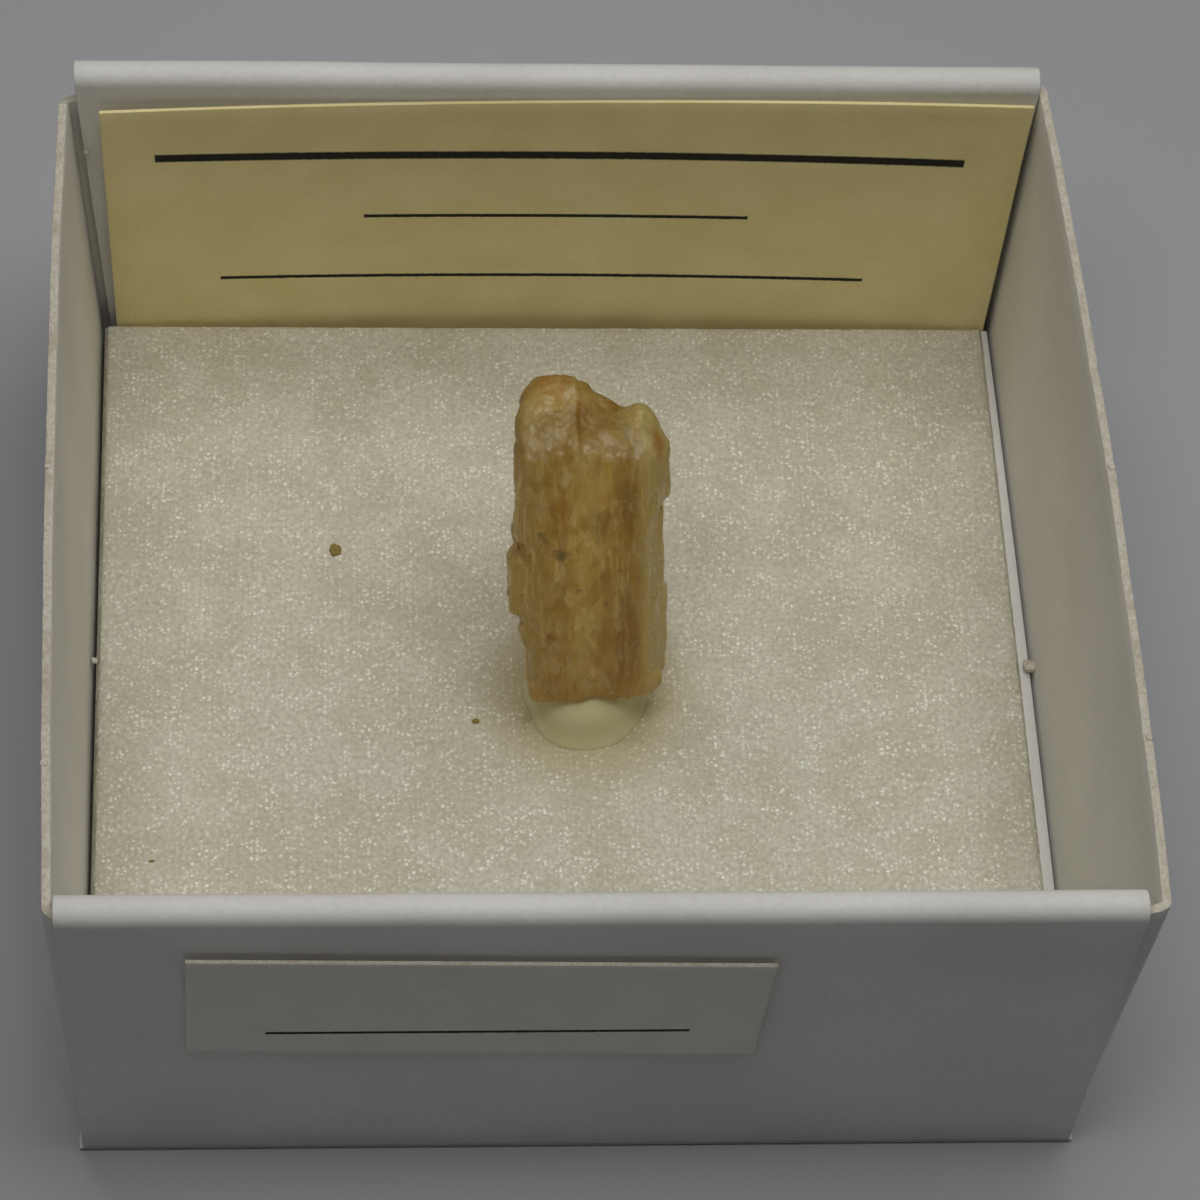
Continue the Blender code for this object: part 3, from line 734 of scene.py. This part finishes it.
def side_wall(side, card):
    """One side wall and its tabs as a sheet, leaning and waving as handled card does."""
    wall_x = WIDTH / 2 - card / 2
    turn = CORNER_RADIUS - card / 2
    tab_y = DEPTH / 2 - ROLL / 2
    bm = bmesh.new()
    foot = [bm.verts.new((side * x, y, BASE_EDGE)) for x, y in wall_plan(card)]
    step = (SIDE_HEIGHT - BASE_EDGE) / WALL_LEVELS
    drawn_out(bm, foot, WALL_LEVELS, (0, 0, step))
    for vert in bm.verts:
        at_top = vert.co.z > SIDE_HEIGHT - step / 2
        share = share_of(abs(vert.co.x) - wall_x + turn, turn)
        height = vert.co.z / SIDE_HEIGHT
        vert.co.x += share * side_lean(side, vert.co.y, vert.co.z)
        wave = noise.noise(Vector((side * 7.0, vert.co.y * 0.16, vert.co.z * 0.14)))
        vert.co.x -= side * share * height * WALL_WAVE * (SIDE_INWARD + wave)
        if at_top:
            rough = noise.noise(Vector((side * 3.0, vert.co.y * 0.9, 0)))
            rough += 0.8 * noise.noise(Vector((side * 3.0, vert.co.y * 3.5, 5.0)))
            vert.co.z += CUT_WAVE * rough
            vert.co.x -= side * share * CUT_WAVE * abs(rough)
        torn = (vert.co.y - (tab_y - turn - TORN_REACH)) / TORN_REACH
        if side < 0 and torn > 0:
            vert.co.z -= TORN_DROP * min(torn, 1.0) * height ** 4
    push_back_left(bm)
    return solidified(bm, card, BOARD_BEVEL, rim_offset=1)


def strip_profile(card):
    """Half of the rolled strip from the side: outer panel, rolled rim, inner panel and liner."""
    outer = DEPTH / 2 - card / 2
    inner = DEPTH / 2 - ROLL + card / 2
    top = RIM - card / 2
    big, small, fold = RIM_OUTER_RADIUS - card / 2, RIM_INNER_RADIUS - card / 2, LINER_FOLD_RADIUS
    floor = LINER_TOP - card / 2
    parts = [step / PANEL_STEPS for step in range(PANEL_STEPS + 1)]
    up = [(outer, BASE_EDGE + (top - big - BASE_EDGE) * part) for part in parts[:-1]]
    over = arc((outer - big, top - big), big, 0, 90, 6)
    over += arc((inner + small, top - small), small, 90, 180, 4)
    down = [(inner, top - small + (floor + fold - top + small) * part) for part in parts[1:-1]]
    turn = arc((inner - fold, floor + fold), fold, 0, -90, 4)
    across = [((inner - fold) * (1 - part), floor) for part in parts[1:]]
    return up + over + down + turn + across


def strip_half_width(y, z):
    """Half the strip's width at a place on its profile."""
    if abs(y) > DEPTH / 2 - ROLL / 2:
        return ROLL_HALF
    if z < LINER_TOP:
        return LINER_HALF
    rise = (z - LINER_TOP) / (RIM - LINER_TOP)
    return INNER_FOOT_HALF + (ROLL_HALF - INNER_FOOT_HALF) * rise


def rolled_strip(card):
    """The one strip of card that makes the front wall, the raised floor and the back wall."""
    half = strip_profile(card)
    profile = [(-y, z) for y, z in half] + [(y, z) for y, z in reversed(half[:-1])]
    bm = bmesh.new()
    first = [bm.verts.new((-1.0, y, z)) for y, z in profile]
    drawn_out(bm, first, STRIP_STEPS, (2 / STRIP_STEPS, 0, 0))
    for vert in bm.verts:
        vert.co.x *= strip_half_width(vert.co.y, vert.co.z)
        end = math.copysign(1.0, vert.co.y)
        rise = max(vert.co.z - LINER_TOP, 0.0) / RIM
        wave = noise.noise(Vector((vert.co.x * 0.13, end * 5.0, vert.co.z * 0.1)))
        vert.co.y -= end * WALL_WAVE * rise * (STRIP_INWARD + wave)
        if vert.co.z > RIM - RIM_WAVED:
            vert.co.z += RIM_WAVE * (noise.noise(Vector((vert.co.x * 0.22, end * 9.0, 0))) - 0.6)
    push_back_left(bm)
    return solidified(bm, card, BOARD_BEVEL, rim_offset=1)


def nick(middle, size=1.0):
    """A stub of torn card on a cut edge, where the blank was joined to its sheet."""
    bm = bmesh.new()
    bmesh.ops.create_cube(bm, size=2.0)
    bevelled(bm, lambda edge: True, 0.5, 2)
    for vert in bm.verts:
        vert.co *= 1 + 0.5 * noise.noise(vert.co * 1.36 + middle)
    bmesh.ops.scale(bm, vec=NICK * size, verts=bm.verts)
    bmesh.ops.translate(bm, vec=middle, verts=bm.verts)
    for face in bm.faces:
        face.material_index = 1
    push_back_left(bm)
    return bm


def wall_nick(side, y):
    """Such a stub on a side wall's cut top."""
    x = side * (WIDTH / 2 - NICK_INSET) + side_lean(side, y, SIDE_HEIGHT)
    return nick(Vector((x, y, SIDE_HEIGHT)))


def liner_edge():
    """The narrow edge of the liner beside the foam, which follows the right wall."""
    low, high = LINER_EDGE
    bm = box(low, high)
    bevelled(bm, lambda edge: True, LINER_EDGE_BEVEL, 2)
    long = [edge for edge in bm.edges if edge.calc_length() > (high.y - low.y) / 2]
    bmesh.ops.subdivide_edges(bm, edges=long, cuts=24, use_grid_fill=True)
    for vert in bm.verts:
        if vert.co.x > (low.x + high.x) / 2:
            vert.co.x += side_lean(1, vert.co.y, high.z)
    push_back_left(bm)
    return bm


def foam_sheet_mesh(step):
    """A cut slab whose top has soft edges and a fine open-celled skin."""
    wide, deep = FOAM_RIGHT - FOAM_LEFT, FOAM_BACK - FOAM_FRONT
    middle = ((FOAM_LEFT + FOAM_RIGHT) / 2, (FOAM_FRONT + FOAM_BACK) / 2, FOAM_TOP)
    bm = bmesh.new()
    bmesh.ops.create_grid(
        bm, x_segments=round(wide / step), y_segments=round(deep / step), size=0.5
    )
    bmesh.ops.scale(bm, vec=(wide, deep, 1), verts=bm.verts)
    bmesh.ops.translate(bm, vec=middle, verts=bm.verts)
    edge = FOAM_SOFT_EDGE
    for vert in bm.verts:
        x, y = vert.co.xy
        inset = min(x - FOAM_LEFT, FOAM_RIGHT - x, y - FOAM_FRONT, FOAM_BACK - y)
        if inset < edge:
            vert.co.z -= edge * (1 - math.sqrt(max(0.0, 1 - (1 - inset / edge) ** 2)))
        vert.co.z += FOAM_SWELL * (noise.noise(vert.co * 0.3) - 1)
        vert.co.z += FOAM_CELL * noise.noise(Vector((x, y, 0)) * 2.6)
    walls = bmesh.ops.extrude_face_region(bm, geom=bm.faces[:])["geom"]
    for vert in [part for part in walls if isinstance(part, bmesh.types.BMVert)]:
        vert.co.z = LINER_TOP
    push_back_left(bm)
    bmesh.ops.recalc_face_normals(bm, faces=bm.faces)
    return bm


def rubbed(bm, verts, times):
    """Wears points soft, by drawing each one towards its neighbours."""
    for _ in range(times):
        bmesh.ops.smooth_vert(
            bm, verts=verts, factor=0.5, use_axis_x=True, use_axis_y=True, use_axis_z=True
        )


def fused_crystal(look):
    """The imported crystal's columns fused with the lobes on it, its top broken and worn."""
    bm = bmesh.new()
    bm.from_mesh(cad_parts["topaz_crystal"].data)
    bmesh.ops.remove_doubles(bm, verts=bm.verts, dist=0.001 * MM)
    bmesh.ops.transform(
        bm, matrix=STAND.inverted() @ Matrix.Scale(1 / MM, 4), verts=bm.verts
    )
    for centre, radii in CRYSTAL_LOBES:
        lobe = bmesh.new()
        bmesh.ops.create_icosphere(lobe, subdivisions=3, radius=1.0)
        bmesh.ops.scale(lobe, vec=radii, verts=lobe.verts)
        bmesh.ops.translate(lobe, vec=centre, verts=lobe.verts)
        merged(bm, lobe)
    bm = remeshed(bm, COARSE_VOXEL)
    for vert in bm.verts:
        inset = min(max(vert.co.y - CRYSTAL_FRONT, 0.0), TOP_ROUND)
        most = RIM_OF_TOP - TOP_ROUND - TOP_FALL * max(vert.co.x - STEP_AT, 0.0)
        most += math.sqrt(TOP_ROUND ** 2 - (TOP_ROUND - inset) ** 2)
        if inset < TOP_ROUND and vert.co.z > most:
            vert.co.z = most + TOP_KEPT * (vert.co.z - most)
    rubbed(bm, [vert for vert in bm.verts if vert.co.z > TOP_WORN_FROM], look.top_wear)
    rubbed(bm, bm.verts, look.wear)
    worn_edge = [
        vert for vert in bm.verts
        if vert.co.y < WORN_EDGE_DEPTH and vert.co.z > WORN_EDGE_FROM and vert.co.x > STEP_AT
    ]
    rubbed(bm, worn_edge, WORN_EDGE_TIMES)
    bm = remeshed(bm, VOXEL)
    rubbed(bm, bm.verts, SKIN_TIMES)
    return bm


def relief_at(p, n):
    """How far the crystal's skin stands out at a place with this normal."""
    flank = 1 - min(abs(n.z) * 1.2, 1.0)
    out = 0.0
    for index, (across, along, on_flanks, on_ends) in enumerate(CRYSTAL_RELIEF):
        wave = noise.noise(Vector((p.x * across, p.y * across, p.z * along + 17.3 * index)))
        if on_flanks < 0:
            wave = 2 * abs(wave) - 0.5
        out += (on_flanks * flank + on_ends * (1 - flank)) * wave
    left = share_of(NOTCHED_FROM - p.x, NOTCH_FADE)
    for height, depth, half in NOTCHES:
        away = abs(p.z + NOTCH_SLANT * (p.y - NOTCH_MIDDLE) - height)
        out -= left * depth * max(0.0, 1 - away / half)
    return out


def crystal_mesh(look):
    """The whole crystal, its skin striated, etched and notched, with the step in its top."""
    bm = fused_crystal(look)
    bm.normal_update()
    places = []
    for vert in bm.verts:
        p = vert.co.copy()
        place = p + vert.normal * relief_at(p, vert.normal)
        up = share_of(p.z - STEP_FROM, 1.0)
        if up:
            place.z -= STEP_DROP * share_of(p.x - STEP_AT, STEP_WIDTH) * up
            near, far = RIDGED_DEPTHS
            if STEP_AT - RIDGED_WIDTH < p.x < STEP_AT and near < p.y < far:
                ridges = (p.y - RIDGE_SLOPE * p.x) / RIDGE_STEP
                place.z += RIDGE * up * math.sin(2 * math.pi * ridges)
        places.append(place)
    for vert, place in zip(bm.verts, places):
        vert.co = place
    return bm


def putty_mesh():
    """A thumbed blob: flat below, flowing out a little at its foot, dented by the crystal."""
    bm = bmesh.new()
    bmesh.ops.create_uvsphere(bm, u_segments=72, v_segments=48, radius=1.0)
    for vert in bm.verts:
        out = min(vert.co.xy.length, 1.0)
        bearing = math.atan2(vert.co.y, vert.co.x)
        swell = 0.035 * math.sin(3 * bearing + 0.6) + 0.025 * math.sin(5 * bearing)
        reach = PUTTY_RADIUS * (1 + swell) * out ** 0.75
        reach += PUTTY_SKIRT * (1 - abs(vert.co.z)) ** 9
        height = math.copysign(PUTTY_HEIGHT * abs(vert.co.z) ** 0.85, vert.co.z)
        vert.co = (reach * math.cos(bearing), reach * math.sin(bearing), height)
    bmesh.ops.bisect_plane(
        bm, geom=bm.verts[:] + bm.edges[:] + bm.faces[:], dist=1e-5, plane_co=(0, 0, 0),
        plane_no=(0, 0, -1), clear_outer=True,
    )
    bmesh.ops.holes_fill(bm, edges=[edge for edge in bm.edges if edge.is_boundary], sides=0)
    bmesh.ops.translate(bm, vec=PUTTY_CENTRE, verts=bm.verts)
    into = STAND.inverted()
    left, right = DENT_WIDTHS
    near, far = DENT_DEPTHS
    for vert in bm.verts:
        p = into @ vert.co
        if left < p.x < right and near < p.y < far and p.z > DENT_HEIGHT:
            p.z = DENT_HEIGHT
            vert.co = STAND @ p
        elif vert.co.z > PUTTY_CENTRE.z + 0.2:
            vert.co.z += 0.05 * noise.noise(vert.co * 0.9)
    return bm


def card_sheet(left, right, low, high, front, card):
    """A flat card standing in the frame's xz plane, as a fine sheet."""
    bm = bmesh.new()
    bmesh.ops.create_grid(bm, x_segments=60, y_segments=24, size=0.5)
    bmesh.ops.transform(bm, matrix=Matrix.Rotation(math.radians(90), 4, "X"), verts=bm.verts)
    bmesh.ops.scale(bm, vec=(right - left, 1, high - low), verts=bm.verts)
    bmesh.ops.translate(
        bm, vec=((left + right) / 2, front + card / 2, (low + high) / 2), verts=bm.verts
    )
    return bm


# Settings


class TrayLook(bpy.types.PropertyGroup):
    card: FloatProperty(
        name="Card thickness", description="Thickness of the tray's board", default=0.35 * MM,
        min=0.1 * MM, max=0.6 * MM, precision=5, unit="LENGTH",
    )
    card_colour: FloatVectorProperty(
        name="Card colour", description="The coated side of the board", size=4, subtype="COLOR",
        default=linear("#F0EFEC"), min=0.0, max=1.0,
    )


class FoamLook(bpy.types.PropertyGroup):
    cell: FloatProperty(
        name="Surface step", description="Spacing of the foam skin's points",
        default=FOAM_STEP * MM, min=0.1 * MM, max=2 * MM, precision=5, unit="LENGTH",
    )
    colour: FloatVectorProperty(
        name="Foam colour", description="The foam between its glints", size=4, subtype="COLOR",
        default=linear("#DAD6C4"), min=0.0, max=1.0,
    )


class PuttyLook(bpy.types.PropertyGroup):
    colour: FloatVectorProperty(
        name="Putty colour", description="The mineral tack", size=4, subtype="COLOR",
        default=linear("#D8D0A0"), min=0.0, max=1.0,
    )


class CrystalLook(bpy.types.PropertyGroup):
    honey_colour: FloatVectorProperty(
        name="Honey", description="The crystal's main colour", size=4, subtype="COLOR",
        default=linear("#F6D880"), min=0.0, max=1.0,
    )
    deep_colour: FloatVectorProperty(
        name="Deep honey", description="The colour where the crystal is thick", size=4,
        subtype="COLOR", default=linear("#E2BE52"), min=0.0, max=1.0,
    )
    absorption: FloatProperty(
        name="Absorption", description="How fast the stone takes up light, per metre",
        default=130.0, min=0.0, max=5000.0,
    )
    wear: IntProperty(
        name="Wear", description="How often the edges are rubbed soft", default=2, min=0, max=60
    )
    top_wear: IntProperty(
        name="Top wear", description="How often the broken top is rubbed soft as well",
        default=14, min=0, max=100,
    )


class CardLook(bpy.types.PropertyGroup):
    thickness: FloatProperty(
        name="Card thickness", description="Thickness of the two loose cards",
        default=0.16 * MM, min=0.1 * MM, max=0.5 * MM, precision=5, unit="LENGTH",
    )
    large_colour: FloatVectorProperty(
        name="Large card", description="The card that stands at the back", size=4,
        subtype="COLOR", default=linear("#F8EBB4"), min=0.0, max=1.0,
    )
    small_colour: FloatVectorProperty(
        name="Small card", description="The card glued on the front", size=4, subtype="COLOR",
        default=linear("#F8F5EC"), min=0.0, max=1.0,
    )


class StageLook(bpy.types.PropertyGroup):
    floor_colour: FloatVectorProperty(
        name="Floor", description="The pale floor", size=4, subtype="COLOR",
        default=linear("#BFC1C6"), min=0.0, max=1.0,
    )
    key_power: FloatProperty(
        name="Key light", description="Power of the front one of the two soft lights", default=0.127,
        min=0.0, max=100.0,
    )
    lit: BoolProperty(name="Lights", description="Make the studio lights", default=True)


# Operators


class SPECIMEN_OT_stage(bpy.types.Operator):
    """Make the pale floor, the soft lights and the camera"""

    bl_idname = "specimen.stage"
    bl_label = "Stage"

    def execute(self, context):
        look = context.scene.stage_look
        bm = bmesh.new()
        bmesh.ops.create_grid(bm, x_segments=1, y_segments=1, size=FLOOR_HALF)
        bmesh.ops.scale(bm, vec=(MM,) * 3, verts=bm.verts)
        mesh = bpy.data.meshes.new("floor")
        bm.to_mesh(mesh)
        bm.free()
        mesh.materials.append(painted_floor())
        floor = bpy.data.objects.new("floor", mesh)
        context.scene.collection.objects.link(floor)
        if look.lit:
            for name, place, size, power, colour in LIGHTS:
                lamp = bpy.data.lights.new(name, "AREA")
                lamp.shape = "RECTANGLE"
                lamp.size, lamp.size_y = (length * MM for length in size)
                lamp.energy = power * look.key_power
                lamp.color = linear(colour)[:3]
                holder = bpy.data.objects.new(name, lamp)
                holder.location = Vector(place) * MM
                aim = LIGHTS_AIM * MM - holder.location
                holder.rotation_euler = aim.to_track_quat("-Z", "Y").to_euler()
                context.scene.collection.objects.link(holder)
        world = bpy.data.worlds.new("studio")
        world.use_nodes = True
        sky = world.node_tree.nodes["Background"]
        sky.inputs["Color"].default_value = linear(SKY_COLOUR)
        sky.inputs["Strength"].default_value = SKY_STRENGTH
        context.scene.world = world
        make_camera(context)
        context.scene.view_settings.view_transform = "Standard"
        return {"FINISHED"}


def make_camera(context):
    """The camera of the photograph."""
    lens = bpy.data.cameras.new("photo_view")
    lens.sensor_width = CAMERA_SENSOR
    lens.lens = CAMERA_LENS
    lens.clip_start, lens.clip_end = CAMERA_CLIPS
    camera = bpy.data.objects.new("photo_view", lens)
    turn = Matrix((CAMERA_RIGHT, -CAMERA_DOWN, -CAMERA_AHEAD)).transposed()
    camera.rotation_euler = turn.to_euler()
    camera.location = CAMERA_PLACE * MM
    context.scene.collection.objects.link(camera)
    context.scene.camera = camera


class SPECIMEN_OT_tray(bpy.types.Operator):
    """Fold the card tray"""

    bl_idname = "specimen.tray"
    bl_label = "Card tray"

    def execute(self, context):
        card = context.scene.tray_look.card / MM
        bm = rolled_strip(card)
        for side in LEAN:
            merged(bm, side_wall(side, card))
            for y in NICKS[side]:
                merged(bm, wall_nick(side, y))
        for place, size in INNER_NICKS:
            merged(bm, nick(Vector(place), size))
        merged(bm, liner_edge())
        base = box(Vector((-WIDTH / 2, -DEPTH / 2, 0)), Vector((WIDTH / 2, DEPTH / 2, card)))
        bevelled(base, lambda edge: max(v.co.z for v in edge.verts) < 1e-4, BASE_EDGE, 4)
        push_back_left(base)
        merged(bm, base)
        finished(
            bm, "folded_card_tray", [coated_card(), cut_board()], "card_tray"
        )
        return {"FINISHED"}


class SPECIMEN_OT_foam(bpy.types.Operator):
    """Cut the foam sheet"""

    bl_idname = "specimen.foam"
    bl_label = "Foam sheet"

    def execute(self, context):
        bm = foam_sheet_mesh(context.scene.foam_look.cell / MM)
        foam = finished(
            bm, "foam_sheet", [polyethylene_foam()], "foam_pad"
        )
        return {"FINISHED"}


class SPECIMEN_OT_putty(bpy.types.Operator):
    """Press the putty down under the crystal"""

    bl_idname = "specimen.putty"
    bl_label = "Putty"

    def execute(self, context):
        finished(
            putty_mesh(), "putty_blob", [mineral_putty()], "mounting_putty"
        )
        return {"FINISHED"}


class SPECIMEN_OT_crystal(bpy.types.Operator):
    """Grow the topaz crystal"""

    bl_idname = "specimen.crystal"
    bl_label = "Topaz crystal"

    def execute(self, context):
        bm = crystal_mesh(context.scene.crystal_look)
        bmesh.ops.transform(bm, matrix=STAND, verts=bm.verts)
        finished(bm, "honey_crystal", [topaz()], "topaz_crystal", sharp=180.0)
        return {"FINISHED"}


class SPECIMEN_OT_cards(bpy.types.Operator):
    """Cut the two cards"""

    bl_idname = "specimen.cards"
    bl_label = "Cards"

    def execute(self, context):
        look = context.scene.card_look
        card = look.thickness / MM
        low, high = node_box("specimen_label")
        bm = card_sheet(low.x, high.x, LINER_TOP, high.z, LARGE_CARD_FRONT, card)
        for vert in bm.verts:
            across = 2 * (vert.co.x - (low.x + high.x) / 2) / (high.x - low.x)
            vert.co.y -= LARGE_CARD_BOW * across ** 2
            rise = (vert.co.z - LINER_TOP) / (high.z - LINER_TOP)
            vert.co.z -= LARGE_CARD_SHORT_END * rise * (1 - across) / 2
        finished(
            solidified(bm, card, CARD_BEVEL), "specimen_card",
            [ruled_card("pale_yellow_index_card", tuple(look.large_colour), *LARGE_CARD_PRINT)],
            "specimen_label",
        )

        left, right, foot, top = SMALL_CARD
        bm = card_sheet(left, right, foot, top, -DEPTH / 2 - card, card)
        middle = Vector(((left + right) / 2, 0, (foot + top) / 2))
        bmesh.ops.rotate(
            bm, cent=middle, matrix=Matrix.Rotation(SMALL_CARD_TURN, 3, "Y"), verts=bm.verts
        )
        for vert in bm.verts:
            rise = (vert.co.z - foot) / (top - foot)
            vert.co.y -= SMALL_CARD_LIFT * max(rise, 0.0) ** 3
        finished(
            solidified(bm, card, CARD_BEVEL, rim_offset=1), "number_card",
            [
                ruled_card("off_white_card", tuple(look.small_colour), *SMALL_CARD_PRINT),
                cut_board(),
            ],
            "number_label",
        )
        return {"FINISHED"}


class SPECIMEN_OT_crumbs(bpy.types.Operator):
    """Drop the few crumbs that lie on the foam"""

    bl_idname = "specimen.crumbs"
    bl_label = "Crumbs"

    def execute(self, context):
        bm = bmesh.new()
        for place, size in CRUMBS:
            crumb = bmesh.new()
            bmesh.ops.create_icosphere(crumb, subdivisions=3, radius=1.0)
            for vert in crumb.verts:
                vert.co *= 1 + 0.4 * noise.noise(vert.co * 1.5 + Vector(place))
            bmesh.ops.scale(crumb, vec=size, verts=crumb.verts)
            bmesh.ops.translate(crumb, vec=place, verts=crumb.verts)
            merged(bm, crumb)
        finished(bm, "foam_crumbs", [dry_crumb()])
        return {"FINISHED"}


LOOKS = {
    "tray_look": TrayLook,
    "foam_look": FoamLook,
    "putty_look": PuttyLook,
    "crystal_look": CrystalLook,
    "card_look": CardLook,
    "stage_look": StageLook,
}
OPERATORS = (
    SPECIMEN_OT_stage,
    SPECIMEN_OT_tray,
    SPECIMEN_OT_foam,
    SPECIMEN_OT_putty,
    SPECIMEN_OT_crystal,
    SPECIMEN_OT_cards,
    SPECIMEN_OT_crumbs,
)


class SPECIMEN_PT_panel(bpy.types.Panel):
    """The tray, its pieces and their settings"""

    bl_idname = "SPECIMEN_PT_panel"
    bl_label = "Topaz specimen"
    bl_space_type = "VIEW_3D"
    bl_region_type = "UI"
    bl_category = "Specimen"

    def draw(self, context):
        for operator in OPERATORS:
            self.layout.operator(operator.bl_idname)
        for name, group in LOOKS.items():
            settings = getattr(context.scene, name)
            for prop in group.__annotations__:
                self.layout.prop(settings, prop)


def register():
    for group in LOOKS.values():
        bpy.utils.register_class(group)
    for name, group in LOOKS.items():
        setattr(bpy.types.Scene, name, PointerProperty(type=group))
    for operator in OPERATORS:
        bpy.utils.register_class(operator)
    bpy.utils.register_class(SPECIMEN_PT_panel)


def unregister():
    bpy.utils.unregister_class(SPECIMEN_PT_panel)
    for operator in reversed(OPERATORS):
        bpy.utils.unregister_class(operator)
    for name, group in LOOKS.items():
        delattr(bpy.types.Scene, name)
        bpy.utils.unregister_class(group)


def main():
    register()
    for operator in OPERATORS:
        family, name = operator.bl_idname.split(".")
        getattr(getattr(bpy.ops, family), name)()


if __name__ == "__main__":
    main()
